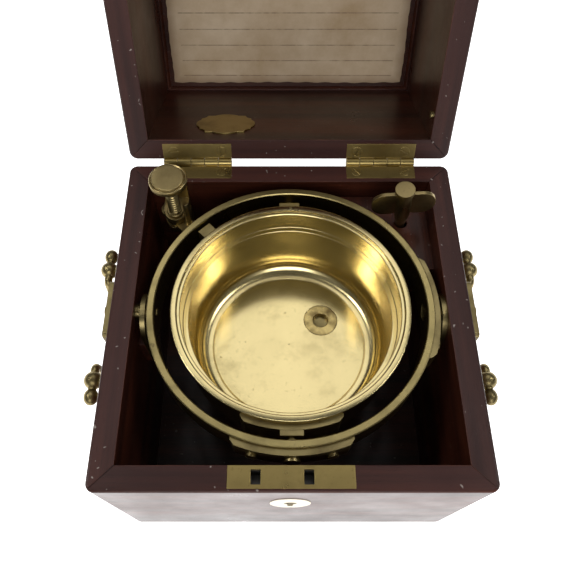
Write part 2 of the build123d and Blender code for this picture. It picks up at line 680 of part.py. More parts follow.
def make_left_packing():
    """The packing piece that keeps the left bracket off the wall."""
    half = BRACKET_WIDTH / 2
    z = (CASE_HEIGHT - BRACKET_BOTTOM_DROP, CASE_HEIGHT - LEFT_PACKING_TOP_DROP)
    return block((-INNER, -INNER + LEFT_BRACKET_STANDOFF), (-half, half), z)


def make_left_case_pivot():
    """The left pivot of the ring, with a ribbed head between bracket and wall."""
    face = left_bracket_face()
    back = face + BRACKET_THICKNESS
    screw = pivot_screw(PIVOT_NUT_RADIUS, back + LEFT_BRACKET_STANDOFF - BOLT_SIDE_GAP, back, face,
                        RING_INNER_RADIUS - 0.3)
    for index in range(3):
        y = -back - LEFT_BRACKET_STANDOFF * (0.2 + 0.28 * index)
        groove = rod_y(PIVOT_NUT_RADIUS, y - 0.2, y + 0.2, 0, PIVOT_Z)
        screw -= groove - rod_y(PIVOT_NUT_RADIUS - 0.4, y - 0.2, y + 0.2, 0, PIVOT_Z)
    return Rot(0, 0, -90) * screw


def make_right_case_pivot():
    """The right pivot of the ring, a stud riveted flush into its bracket."""
    face = INNER - BRACKET_THICKNESS
    stud = rod_x(PIVOT_SHANK_RADIUS, face, INNER, 0, PIVOT_Z)
    return stud + rod_x(PIVOT_RADIUS, RING_INNER_RADIUS + 0.5, face, 0, PIVOT_Z)


def make_bowl():
    """The bowl: a turned shell with a bezel seat, a ledge, a cove and a flat floor."""
    rim = CASE_HEIGHT + BOWL_RIM_ABOVE
    under_rim = rim - BOWL_RIM_HEIGHT
    step = rim - BOWL_RIM_STEP_DEPTH
    ledge = CASE_HEIGHT - BOWL_LEDGE_DROP
    cove = CASE_HEIGHT - BOWL_COVE_DROP
    floor = CASE_HEIGHT - BOWL_FLOOR_DROP
    heel = BOWL_BODY_RADIUS - BOWL_HEEL_RADIUS
    with BuildPart() as bowl:
        with BuildSketch(Plane.XZ):
            with BuildLine():
                Polyline((heel, BOWL_BOTTOM), (0, BOWL_BOTTOM), (0, floor),
                         (BOWL_GROOVE_RADIUS - BOWL_GROOVE_WIDTH, floor),
                         (BOWL_GROOVE_RADIUS - BOWL_GROOVE_WIDTH, floor - BOWL_GROOVE_DEPTH),
                         (BOWL_GROOVE_RADIUS, floor - BOWL_GROOVE_DEPTH),
                         (BOWL_GROOVE_RADIUS, floor), (BOWL_FLOOR_RADIUS, floor))
                RadiusArc((BOWL_FLOOR_RADIUS, floor), (BOWL_WELL_RADIUS, cove),
                          -(BOWL_COVE_DROP - BOWL_LEDGE_DROP) * 0.31)
                Polyline((BOWL_WELL_RADIUS, cove), (BOWL_LEDGE_RADIUS, ledge),
                         (BOWL_MOUTH_RADIUS, ledge), (BOWL_MOUTH_RADIUS, step),
                         (BOWL_RIM_STEP_RADIUS, step), (BOWL_RIM_STEP_RADIUS, rim),
                         (BOWL_RIM_RADIUS, rim), (BOWL_RIM_RADIUS, under_rim),
                         (BOWL_BODY_RADIUS, under_rim), (BOWL_BODY_RADIUS, BOWL_BOTTOM + BOWL_HEEL_RADIUS))
                RadiusArc((BOWL_BODY_RADIUS, BOWL_BOTTOM + BOWL_HEEL_RADIUS), (heel, BOWL_BOTTOM),
                          BOWL_HEEL_RADIUS)
            make_face()
        revolve(axis=Axis.Z)
    shell = bowl.part
    shell -= post(WINDING_BUSH_RADIUS, BOWL_BOTTOM, floor, WINDING_HOLE_X, WINDING_HOLE_Y)
    return shell - post(SHUTTER_STUD_RADIUS, BOWL_BOTTOM, BOWL_BOTTOM + SHUTTER_STUD_DEPTH)


def make_winding_bush():
    """The bush round the winding hole, let into the bowl's floor."""
    floor = CASE_HEIGHT - BOWL_FLOOR_DROP
    bush = post(WINDING_BUSH_RADIUS, BOWL_BOTTOM, floor, WINDING_HOLE_X, WINDING_HOLE_Y)
    return bush - post(WINDING_HOLE_RADIUS, BOWL_BOTTOM, floor, WINDING_HOLE_X, WINDING_HOLE_Y)


def make_bowl_plate(turn):
    """A pivot plate on the bowl with the square block that takes the pivot's tip."""
    low = CASE_HEIGHT - BOWL_PLATE_BOTTOM_DROP
    high = CASE_HEIGHT - BOWL_PLATE_TOP_DROP
    plate = curved_plate(BOWL_BODY_RADIUS, BOWL_PLATE_OUTER_RADIUS, BOWL_PLATE_LENGTH, low, high)
    half_w, half_h = PIVOT_BLOCK_WIDTH / 2, PIVOT_BLOCK_HEIGHT / 2
    middle = (BOWL_BODY_RADIUS + BOWL_PLATE_OUTER_RADIUS) / 2
    plate += block((-half_w, half_w), (-PIVOT_BLOCK_OUTER_RADIUS, -middle), (PIVOT_Z - half_h, PIVOT_Z + half_h))
    fit = PIVOT_RADIUS + PIVOT_CLEARANCE
    plate -= rod_y(fit, -PIVOT_BLOCK_OUTER_RADIUS, -BOWL_PLATE_OUTER_RADIUS, 0, PIVOT_Z)
    return Rot(0, 0, turn) * plate


def make_bowl_plate_screws():
    """Two screws for each of the bowl's pivot plates."""
    z = CASE_HEIGHT - BOWL_SCREW_DROP
    return solids(*[
        Rot(0, 0, turn) * plate_screw(BOWL_PLATE_OUTER_RADIUS, sign * BOWL_SCREW_SPACING / 2, z)
        for turn in (0, 180)
        for sign in (-1, 1)
    ])


def make_bowl_lug():
    """The lug on the bowl that the lock arm slides under."""
    half = LUG_WIDTH / 2
    low = ARM_TOP + LUG_ABOVE_ARM
    lug = block((BOWL_BODY_RADIUS - 2, LUG_OUTER_RADIUS), (-half, half), (low, CASE_HEIGHT - LUG_TOP_DROP))
    lug -= post(BOWL_BODY_RADIUS, low, CASE_HEIGHT)
    under_rim = CASE_HEIGHT + BOWL_RIM_ABOVE - BOWL_RIM_HEIGHT
    lug -= post(BOWL_RIM_RADIUS, under_rim, CASE_HEIGHT)
    return Rot(0, 0, LOCK_ANGLE) * lug


def make_shutter():
    """The dust shutter under the bowl, its hole turned away from the winding hole."""
    top = BOWL_BOTTOM - SHUTTER_GAP
    low = top - SHUTTER_THICKNESS
    disc = post(SHUTTER_RADIUS, low, top)
    disc -= post(SHUTTER_STUD_RADIUS + PIVOT_CLEARANCE, low, top)
    recess = SHUTTER_SPRING_RADIUS + 2 * SHUTTER_WIRE_RADIUS + 0.2
    disc -= post(recess, low, low + 2 * SHUTTER_WIRE_RADIUS + 0.1)
    hole = hypot(WINDING_HOLE_X, WINDING_HOLE_Y)
    angle = radians(degrees(atan2(WINDING_HOLE_Y, WINDING_HOLE_X)) - SHUTTER_TRAVEL)
    disc -= post(WINDING_HOLE_RADIUS, low, top, hole * cos(angle), hole * sin(angle))
    for index in range(SHUTTER_NOTCH_COUNT):
        turn = radians(360 / SHUTTER_NOTCH_COUNT * (index + 0.5))
        reach = SHUTTER_RADIUS + SHUTTER_NOTCH_RADIUS * 0.6
        disc -= post(SHUTTER_NOTCH_RADIUS, low, top, reach * cos(turn), reach * sin(turn))
    return disc


def make_shutter_stud():
    """The shouldered screw on which the shutter turns."""
    shutter_low = BOWL_BOTTOM - SHUTTER_GAP - SHUTTER_THICKNESS
    stud = post(SHUTTER_STUD_RADIUS, shutter_low - PIVOT_CLEARANCE, BOWL_BOTTOM + SHUTTER_STUD_DEPTH)
    head_top = shutter_low - PIVOT_CLEARANCE
    return stud + post(SHUTTER_HEAD_RADIUS, head_top - SHUTTER_THICKNESS, head_top)


def make_shutter_spring():
    """The coil that turns the shutter back, in the recess round the stud."""
    low = BOWL_BOTTOM - SHUTTER_GAP - SHUTTER_THICKNESS
    return Pos(0, 0, low + SHUTTER_WIRE_RADIUS) * Torus(SHUTTER_SPRING_RADIUS, SHUTTER_WIRE_RADIUS)


def ledge(low, high):
    """A flat ledge of the lock bracket, from its back plate to round the clamp screw."""
    half = LOCK_BRACKET_WIDTH / 2
    shelf = block((KNOB_X - half, KNOB_X + half), (KNOB_Y, INNER - LOCK_BRACKET_THICKNESS), (low, high))
    return shelf + post(LEDGE_RADIUS, low, high, KNOB_X, KNOB_Y)


def make_lock_bracket():
    """The corner bracket of the gimbal lock: a back plate and two ledges."""
    half = LOCK_BRACKET_WIDTH / 2
    z = (CASE_HEIGHT - LOCK_BRACKET_BOTTOM_DROP, CASE_HEIGHT + LOCK_BRACKET_ABOVE_RIM)
    bracket = block((KNOB_X - half, KNOB_X + half), (INNER - LOCK_BRACKET_THICKNESS, INNER), z)
    bracket += ledge(UPPER_LEDGE, UPPER_LEDGE + LEDGE_THICKNESS)
    bracket += ledge(LOWER_LEDGE - LEDGE_THICKNESS, LOWER_LEDGE)
    bracket -= post(CLAMP_SHANK_RADIUS + CLAMP_CLEARANCE, LOWER_LEDGE - LEDGE_THICKNESS,
                    UPPER_LEDGE + LEDGE_THICKNESS, KNOB_X, KNOB_Y)
    for drop in (LOCK_BRACKET_BOTTOM_DROP - 11.0, LOCK_BRACKET_BOTTOM_DROP - 4.0):
        bracket -= lock_bracket_screw(drop)
    return bracket


def lock_bracket_screw(drop):
    """A countersunk wood screw's head in the lock bracket's back plate."""
    head = Cone(HINGE_SCREW_RADIUS * 0.5, HINGE_SCREW_RADIUS, LEAF_THICKNESS)
    y = INNER - LOCK_BRACKET_THICKNESS + LEAF_THICKNESS / 2
    return Pos(KNOB_X, y, CASE_HEIGHT - drop) * Rot(90, 0, 0) * head


def along_lock(piece):
    """Place a piece built along +X on the line from the centre to the clamp screw."""
    return Rot(0, 0, LOCK_ANGLE) * piece


def make_lock_arm():
    """The sliding arm: a flat bar with a slot round the clamp screw."""
    half = ARM_WIDTH / 2
    slot_half = CLAMP_SHANK_RADIUS + ARM_SIDE_GAP
    end = LOCK_RADIUS + ARM_TRAVEL - BOLT_SIDE_GAP * 5
    arm = block((ARM_TIP_RADIUS, end), (-half, half), (ARM_BOTTOM, ARM_TOP))
    arm += post(half, ARM_BOTTOM, ARM_TOP, end)
    arm -= block((LOCK_RADIUS, LOCK_RADIUS + ARM_TRAVEL), (-slot_half, slot_half), (ARM_BOTTOM, ARM_TOP))
    for centre in (LOCK_RADIUS, LOCK_RADIUS + ARM_TRAVEL):
        arm -= post(slot_half, ARM_BOTTOM, ARM_TOP, centre)
    return along_lock(arm)


def make_arm_pin():
    """The upright finger pin riveted to the arm, with a small button on top."""
    x = LOCK_RADIUS - ARM_PIN_OFFSET
    neck = ARM_TOP + ARM_PIN_HEIGHT
    y = -ARM_PIN_SIDE
    pin = post(ARM_PIN_RADIUS, ARM_TOP, neck - ARM_PIN_RADIUS, x, y)
    button = Pos(x, y, neck - ARM_PIN_RADIUS) * Cone(ARM_PIN_RADIUS, ARM_PIN_RADIUS * 0.7, ARM_PIN_RADIUS)
    return along_lock(pin + Pos(0, 0, ARM_PIN_RADIUS / 2) * button)


def make_clamp_knob():
    """The clamp screw: dished head with a raised button, column, collar and shank."""
    top = CASE_HEIGHT + KNOB_ABOVE_RIM
    under = top - KNOB_HEIGHT
    collar = UPPER_LEDGE + LEDGE_THICKNESS + PIVOT_CLEARANCE
    low = LOWER_LEDGE - LEDGE_THICKNESS
    lip = KNOB_HEIGHT * 0.3
    with BuildPart() as knob:
        with BuildSketch(Plane.XZ):
            with BuildLine():
                Polyline((0, low), (CLAMP_SHANK_RADIUS, low), (CLAMP_SHANK_RADIUS, collar),
                         (COLLAR_RADIUS, collar), (COLLAR_RADIUS, collar + COLLAR_HEIGHT),
                         (COLUMN_RADIUS, collar + COLLAR_HEIGHT), (COLUMN_RADIUS, under),
                         (KNOB_RADIUS * 0.72, under), (KNOB_RADIUS * 0.94, under + lip),
                         (KNOB_RADIUS, under + 2 * lip), (KNOB_RADIUS, top - lip),
                         (KNOB_RADIUS * 0.97, top - lip * 0.4), (KNOB_BUTTON_RADIUS * 1.04, top - lip * 0.4),
                         (KNOB_BUTTON_RADIUS, top - KNOB_BUTTON_HEIGHT),
                         (KNOB_BUTTON_RADIUS * 0.97, top), (0, top), (0, low))
            make_face()
        revolve(axis=Axis.Z)
    return Pos(KNOB_X, KNOB_Y, 0) * knob.part


def make_key_block():
    """The corner block, hollowed to clear the ring, with the key's hole."""
    top = KEY_BLOCK_TOP
    low = top - KEY_BLOCK_HEIGHT
    corner = block((KEY_BLOCK_START, INNER), (KEY_BLOCK_START, INNER), (low, top))
    corner -= post(KEY_BLOCK_CURVE_RADIUS, low, top)
    middle = key_point(-KEY_SHANK_DEPTH / 2)
    return corner - post(KEY_HOLE_RADIUS, top - KEY_HOLE_DEPTH, top, middle.X, middle.Y)


def key_plane():
    """The key's own frame: its axis leans, and its origin is where it enters the block."""
    lean = Vector(tan(radians(KEY_LEAN_X)), tan(radians(KEY_LEAN_Y)), 1)
    return Plane(origin=(KEY_FOOT_X, KEY_FOOT_Y, KEY_BLOCK_TOP), x_dir=(1, 0, -lean.X), z_dir=lean)


def key_point(height):
    """A point on the key's axis."""
    plane = key_plane()
    return plane.origin + plane.z_dir * height


def make_key_wings():
    """The key's winged head: barrel, cap and two flat butterfly wings."""
    barrel = post(KEY_BARREL_RADIUS, KEY_BARREL_BOTTOM, KEY_BARREL_TOP)
    barrel += post(KEY_CAP_RADIUS, KEY_BARREL_TOP, KEY_BARREL_TOP + KEY_CAP_HEIGHT)
    height = KEY_WING_TOP - KEY_WING_BOTTOM
    half = KEY_WING_SPAN / 2
    wings = Sketch()
    for sign in (-1, 1):
        wings += Pos(sign * half * 0.5, 0) * RectangleRounded(half, height * 0.8, height * 0.36)
        wings += Pos(sign * half * 0.25, height * 0.1) * Rectangle(half * 0.5, height * 0.6)
    plate = extrude(wings, KEY_WING_THICKNESS / 2, both=True)
    middle = (KEY_WING_TOP + KEY_WING_BOTTOM) / 2
    head = barrel + Pos(0, 0, middle) * Rot(90, 0, 0) * plate
    bore = KEY_SPIGOT_RADIUS + PIVOT_CLEARANCE
    head -= post(bore, KEY_WING_BOTTOM - 2, KEY_BARREL_BOTTOM + KEY_SPIGOT_LENGTH + PIVOT_CLEARANCE)
    return key_plane() * head


def make_key_pipe():
    """The key's tapered pipe with its square socket, free to turn in the barrel."""
    shoulder = KEY_BARREL_BOTTOM - PIVOT_CLEARANCE
    with BuildPart() as pipe:
        with BuildSketch(Plane.XZ):
            with BuildLine():
                Polyline((0, -KEY_SHANK_DEPTH), (KEY_SHANK_RADIUS, -KEY_SHANK_DEPTH), (KEY_SHANK_RADIUS, 0),
                         (KEY_BARREL_RADIUS * 0.9, shoulder * 0.72), (KEY_BARREL_RADIUS * 0.9, shoulder),
                         (KEY_SPIGOT_RADIUS, shoulder), (KEY_SPIGOT_RADIUS, shoulder + KEY_SPIGOT_LENGTH),
                         (0, shoulder + KEY_SPIGOT_LENGTH), (0, -KEY_SHANK_DEPTH))
            make_face()
        revolve(axis=Axis.Z)
    half = KEY_SOCKET / 2
    socket = block((-half, half), (-half, half), (-KEY_SHANK_DEPTH, -KEY_SHANK_DEPTH + KEY_SOCKET_DEPTH))
    return key_plane() * (pipe.part - socket)


def make_handle_eye(side, sign):
    """One eye bolt of a drop handle: rose, neck and bored ball."""
    with BuildPart() as eye:
        with BuildSketch(Plane.XZ):
            with BuildLine():
                Polyline((0, 0), (HANDLE_ROSE_RADIUS, 0), (HANDLE_ROSE_RADIUS, HANDLE_ROSE_HEIGHT * 0.5),
                         (HANDLE_ROSE_RADIUS * 0.75, HANDLE_ROSE_HEIGHT),
                         (HANDLE_NECK_RADIUS, HANDLE_ROSE_HEIGHT), (HANDLE_NECK_RADIUS, HANDLE_STANDOFF),
                         (0, HANDLE_STANDOFF), (0, 0))
            make_face()
        revolve(axis=Axis.Z)
    ball = Pos(0, 0, HANDLE_STANDOFF) * Sphere(HANDLE_EYE_RADIUS)
    half = HANDLE_EYE_WIDTH / 2
    reach = HANDLE_STANDOFF + HANDLE_EYE_RADIUS
    body = eye.part + (ball & block((-reach, reach), (-half, half), (0, reach)))
    body -= rod_y(HANDLE_ROD_RADIUS + HANDLE_ROD_CLEARANCE, -half, half, 0, HANDLE_STANDOFF)
    return Pos(side * HALF, sign * HANDLE_EYE_SPACING / 2, HANDLE_Z) * Rot(0, side * 90, 0) * body


def make_handle_eyes():
    """The four eyes of both handles."""
    return solids(*[make_handle_eye(side, sign) for side in (-1, 1) for sign in (-1, 1)])


def make_bail(side):
    """A drop handle: a bent rod through its eyes, with an egg-shaped finial at each end."""
    eye = HANDLE_EYE_SPACING / 2
    outer = eye + HANDLE_EYE_WIDTH / 2 + HANDLE_ROD_RADIUS
    shoulder = eye - HANDLE_EYE_WIDTH / 2 - BAIL_SHOULDER_GAP
    foot = shoulder - BAIL_TAPER
    path = FilletPolyline((0, -outer, 0), (0, -shoulder, 0), (0, -foot, -BAIL_DEPTH), (0, foot, -BAIL_DEPTH),
                          (0, shoulder, 0), (0, outer, 0),
                          radius=[HANDLE_ROD_RADIUS * 1.3, BAIL_BEND_RADIUS, BAIL_BEND_RADIUS,
                                  HANDLE_ROD_RADIUS * 1.3])
    section = Plane(origin=(0, -outer, 0), z_dir=(0, 1, 0)) * Circle(HANDLE_ROD_RADIUS)
    rod = sweep(section, path=path)
    egg = scale(Sphere(FINIAL_RADIUS), (1, FINIAL_LENGTH / FINIAL_RADIUS / 2, 1))
    for sign in (-1, 1):
        start = eye + HANDLE_EYE_WIDTH / 2 + HANDLE_ROD_CLEARANCE * 2
        rod += Pos(0, sign * (start + FINIAL_LENGTH / 2), 0) * egg
    return Pos(side * HANDLE_X, 0, HANDLE_Z) * rod


def side_plate(side):
    """One outer plate behind a gimbal bracket, near the rim."""
    top = CASE_HEIGHT - SIDE_PLATE_DROP
    plate = RectangleRounded(SIDE_PLATE_HEIGHT, SIDE_PLATE_LENGTH, SIDE_PLATE_HEIGHT * 0.2)
    body = extrude(plate, SIDE_PLATE_THICKNESS)
    x = HALF if side > 0 else -HALF - SIDE_PLATE_THICKNESS
    return Pos(x, 0, top - SIDE_PLATE_HEIGHT / 2) * Rot(0, 90, 0) * body


def make_side_plates():
    """The two outer plates."""
    return solids(side_plate(-1), side_plate(1))


def side_plate_screw(side):
    """The domed screw in the middle of a side plate."""
    z = CASE_HEIGHT - SIDE_PLATE_DROP - SIDE_PLATE_HEIGHT / 2
    start = side * (HALF + SIDE_PLATE_THICKNESS)
    end = start + side * SIDE_SCREW_HEIGHT
    return rod_x(SIDE_SCREW_RADIUS, min(start, end), max(start, end), 0, z)


def make_case_screws():
    """The wood screws that hold brackets and side plates to the walls."""
    left_face, right_face = left_bracket_face(), INNER - BRACKET_THICKNESS
    heads = [bracket_screw(right_face, CASE_HEIGHT - drop) for drop in BRACKET_SCREW_DROPS]
    heads += [Rot(0, 0, 180) * bracket_screw(left_face, CASE_HEIGHT - drop) for drop in BRACKET_SCREW_DROPS]
    heads += [lock_bracket_screw(LOCK_BRACKET_BOTTOM_DROP - drop) for drop in (11.0, 4.0)]
    heads += [side_plate_screw(side) for side in (-1, 1)]
    return solids(*heads)


def build():
    """Every node by name, with the lid's nodes swung open."""
    nodes = make_case_walls()
    nodes["base_board"] = make_base_board()
    lid = make_lid_walls()
    lid["lid_top_panel"] = make_lid_panel()
    lid["certificate_card"] = make_card()
    lid["card_moulding"] = make_card_moulding()
    lid["lid_plaque"] = make_plaque()
    lid["lid_stud"] = make_lid_stud()
    lid["striker_plate"] = make_striker()
    lid["lid_hinge_screws"] = make_hinge_screws(True)
    for name, x in HINGES.items():
        nodes[f"{name}_hinge_case_leaf"] = make_hinge_leaf(x, False)
        lid[f"{name}_hinge_lid_leaf"] = make_hinge_leaf(x, True)
    nodes["hinge_pins"] = make_hinge_pins()
    nodes["case_hinge_screws"] = make_hinge_screws(False)
    nodes["lock_plate"] = make_lock_plate()
    nodes["lock_case"] = make_lock_case()
    nodes["lock_bolt"] = make_lock_bolt()
    nodes["escutcheon"] = make_escutcheon()
    nodes["left_gimbal_bracket"] = Rot(0, 0, 180) * make_bracket(INNER - LEFT_BRACKET_STANDOFF)
    nodes["right_gimbal_bracket"] = make_bracket(INNER)
    nodes["left_bracket_packing"] = make_left_packing()
    nodes["left_ring_pivot"] = make_left_case_pivot()
    nodes["right_ring_pivot"] = make_right_case_pivot()
    nodes["case_screws"] = make_case_screws()
    nodes["gimbal_ring"] = make_gimbal_ring()
    nodes["front_ring_plate"] = make_ring_plate(0, PIVOT_SHANK_RADIUS)
    nodes["right_ring_plate"] = make_ring_plate(90, PIVOT_RADIUS + PIVOT_CLEARANCE)
    nodes["ring_plate_screws"] = make_ring_plate_screws()
    nodes["front_bowl_pivot"] = make_front_bowl_pivot()
    nodes["back_bowl_pivot"] = make_back_bowl_pivot()
    nodes["bowl"] = make_bowl()
    nodes["winding_bush"] = make_winding_bush()
    nodes["front_bowl_plate"] = make_bowl_plate(0)
    nodes["back_bowl_plate"] = make_bowl_plate(180)
    nodes["bowl_plate_screws"] = make_bowl_plate_screws()
    nodes["bowl_lock_lug"] = make_bowl_lug()
    nodes["winding_shutter"] = make_shutter()
    nodes["shutter_stud"] = make_shutter_stud()
    nodes["shutter_spring"] = make_shutter_spring()
    nodes["lock_bracket"] = make_lock_bracket()
    nodes["lock_arm"] = make_lock_arm()
    nodes["lock_arm_pin"] = make_arm_pin()
    nodes["clamp_knob"] = make_clamp_knob()
    nodes["key_block"] = make_key_block()
    nodes["key_wings"] = make_key_wings()
    nodes["key_pipe"] = make_key_pipe()
    nodes["handle_eyes"] = make_handle_eyes()
    nodes["left_bail"] = make_bail(-1)
    nodes["right_bail"] = make_bail(1)
    nodes["side_plates"] = make_side_plates()
    nodes.update({name: swing_open(piece) for name, piece in lid.items()})
    return nodes


os.makedirs("parts", exist_ok=True)
for node_name, node_shape in build().items():
    export_step(node_shape, f"parts/{node_name}.step")
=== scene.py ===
"""Marine chronometer case, open: mahogany box, empty brass bowl in gimbals, lock and key."""

from math import atan2, cos, pi, radians, sin, sqrt

import bmesh
import bpy
from mathutils import Matrix, Vector


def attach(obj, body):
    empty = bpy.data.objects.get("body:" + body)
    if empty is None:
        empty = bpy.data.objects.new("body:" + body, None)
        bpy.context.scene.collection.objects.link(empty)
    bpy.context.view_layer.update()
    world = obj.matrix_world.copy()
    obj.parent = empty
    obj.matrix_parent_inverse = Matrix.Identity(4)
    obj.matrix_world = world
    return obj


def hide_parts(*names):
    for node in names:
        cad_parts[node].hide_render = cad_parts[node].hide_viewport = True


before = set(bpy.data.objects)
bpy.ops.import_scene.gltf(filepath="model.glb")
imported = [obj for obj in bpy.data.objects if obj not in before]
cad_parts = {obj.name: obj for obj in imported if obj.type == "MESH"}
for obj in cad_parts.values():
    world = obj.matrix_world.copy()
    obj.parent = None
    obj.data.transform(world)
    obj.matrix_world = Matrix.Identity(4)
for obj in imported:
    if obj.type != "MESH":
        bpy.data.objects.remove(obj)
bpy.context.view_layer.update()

# Camera, light and floor
# The camera stands over the front of the box, looking down into the bowl. A wide softbox, two
# small ones and a fill from the front light it, and the white floor is overexposed.
MM = 0.001
scene = bpy.context.scene


def link(data, name):
    """A new object in the scene."""
    obj = bpy.data.objects.new(name, data)
    scene.collection.objects.link(obj)
    return obj


def wire(tree, kind, inputs=None, **settings):
    """A new shader node with its settings, values and links."""
    node = tree.nodes.new(kind)
    for key, value in settings.items():
        setattr(node, key, value)
    for key, value in (inputs or {}).items():
        if isinstance(value, bpy.types.NodeSocket):
            tree.links.new(value, node.inputs[key])
        else:
            node.inputs[key].default_value = value
    return node


def new_material(name):
    """A material, its node tree and its main shader."""
    material = bpy.data.materials.new(name)
    material.use_nodes = True
    tree = material.node_tree
    return material, tree, tree.nodes["Principled BSDF"]


camera_data = bpy.data.cameras.new("camera")
camera_data.sensor_width = 36.0
camera_data.lens = 36.24
camera_data.shift_x = 0.0186
camera_data.shift_y = 0.0429
camera_data.clip_start = 0.01
camera = link(camera_data, "camera")
camera.location = (-6.8 * MM, -136.0 * MM, 368.1 * MM)
camera.rotation_euler = (radians(90.0 - 63.4), 0.0, 0.0)
scene.camera = camera
scene.view_settings.view_transform = "Standard"
scene.view_settings.look = "None"


def softbox(name, place, aim, width, height, watts):
    """A rectangular light that faces a point."""
    data = bpy.data.lights.new(name, "AREA")
    data.shape = "RECTANGLE"
    data.size = width
    data.size_y = height
    data.energy = watts
    light = link(data, name)
    light.location = place
    light.rotation_euler = (Vector(aim) - Vector(place)).to_track_quat("-Z", "Y").to_euler()
    return light


softbox("overhead", (0.0, 0.62, 1.3), (0.0, 0.0, 0.08), 1.1, 0.8, 3.2)
softbox("left_box", (-0.62, 0.05, 0.95), (0.0, 0.0, 0.08), 0.16, 0.26, 1.7)
softbox("right_box", (0.62, 0.05, 0.95), (0.0, 0.0, 0.08), 0.16, 0.26, 1.7)
softbox("front_fill", (0.0, -1.0, 0.8), (0.0, 0.1, 0.12), 0.8, 0.5, 5.0)

world = bpy.data.worlds.new("studio")
scene.world = world
world.use_nodes = True
world_tree = world.node_tree
world_tree.nodes["Background"].inputs["Color"].default_value = (1.0, 1.0, 1.0, 1.0)
light_path = wire(world_tree, "ShaderNodeLightPath")
SKY_FILL = 0.30
SKY_GLINT = 0.10
SKY_SEEN = 1.0
glint = {"Value": light_path.outputs["Is Glossy Ray"], "To Min": SKY_FILL, "To Max": SKY_GLINT}
sky_level = wire(world_tree, "ShaderNodeMapRange", glint)
seen = {"Value": light_path.outputs["Is Camera Ray"], "To Min": sky_level.outputs[0], "To Max": SKY_SEEN}
seen_level = wire(world_tree, "ShaderNodeMapRange", seen)
world_tree.links.new(seen_level.outputs[0], world_tree.nodes["Background"].inputs["Strength"])

floor_mesh = bpy.data.meshes.new("floor")
FLOOR_HALF = 4.0
FLOOR_LEVEL = -0.3 * MM
corners = [(x * FLOOR_HALF, y * FLOOR_HALF, FLOOR_LEVEL) for x, y in ((-1, -1), (1, -1), (1, 1), (-1, 1))]
floor_mesh.from_pydata(corners, [], [(0, 1, 2, 3)])
floor = link(floor_mesh, "floor")
floor_material, floor_tree, floor_shader = new_material("floor")
floor_shader.inputs["Base Color"].default_value = (0.9, 0.9, 0.9, 1.0)
floor_shader.inputs["Roughness"].default_value = 0.8
floor_shader.inputs["Emission Color"].default_value = (1.0, 1.0, 1.0, 1.0)
floor_shader.inputs["Emission Strength"].default_value = 1.4
floor.data.materials.append(floor_material)

# Boards of the case and of the lid
# Eight mitred mahogany boards with a base and a top panel, polished and worn. The rims are
# dusty and dry, and the mitres have opened to a dark hairline. The base board, the key block,
# the bracket packing and the lid are darker copies of the same wood: painted shade.
LID_TURN = radians(113.2)
HINGE = Vector((0.0, 94.4 * MM, 104.1 * MM))
OPEN_LID = Matrix.Translation(HINGE) @ Matrix.Rotation(-LID_TURN, 4, "X") @ Matrix.Translation(-HINGE)


def calc(tree, operation, first, second=0.0, clamp=False):
    """The result of one sum on two values."""
    values = {0: first, 1: second}
    return wire(tree, "ShaderNodeMath", values, operation=operation, use_clamp=clamp).outputs[0]


def noise(tree, coords, scale, detail=4.0, rough=0.5, stretch=(1.0, 1.0, 1.0)):
    """Noise on coordinates that may be stretched."""
    mapped = wire(tree, "ShaderNodeMapping", {"Vector": coords, "Scale": stretch}).outputs[0]
    values = {"Vector": mapped, "Scale": scale, "Detail": detail, "Roughness": rough}
    return wire(tree, "ShaderNodeTexNoise", values).outputs["Fac"]


def between(tree, value, low, high, out_low=0.0, out_high=1.0):
    """A value moved from one range to another and held inside it."""
    node = wire(tree, "ShaderNodeMapRange", {"Value": value, "From Min": low, "From Max": high,
                                             "To Min": out_low, "To Max": out_high})
    return node.outputs[0]


def blend_colour(tree, factor, first, second):
    """One colour laid over another by a factor."""
    node = wire(tree, "ShaderNodeMix", {"Factor": factor}, data_type="RGBA")
    for socket, value in ((node.inputs[6], first), (node.inputs[7], second)):
        if isinstance(value, bpy.types.NodeSocket):
            tree.links.new(value, socket)
        else:
            socket.default_value = (*value, 1.0)
    return node.outputs[2]


def bump(tree, height, strength, distance, normal=None):
    """A bumped normal."""
    values = {"Height": height, "Strength": strength, "Distance": distance}
    if normal is not None:
        values["Normal"] = normal
    return wire(tree, "ShaderNodeBump", values).outputs[0]


def shut_lid(tree, vector, centre=HINGE):
    """Coordinates on the open lid, turned back to where they are when it is shut."""
    values = {"Vector": vector, "Center": centre, "Axis": (1, 0, 0), "Angle": LID_TURN}
    return wire(tree, "ShaderNodeVectorRotate", values, rotation_type="AXIS_ANGLE").outputs[0]


def edge_turn(tree, rounded):
    """How well a rounded normal agrees with the face's own: below one beside edges."""
    values = {0: rounded, 1: wire(tree, "ShaderNodeNewGeometry").outputs["Normal"]}
    return wire(tree, "ShaderNodeVectorMath", values, operation="DOT_PRODUCT").outputs["Value"]


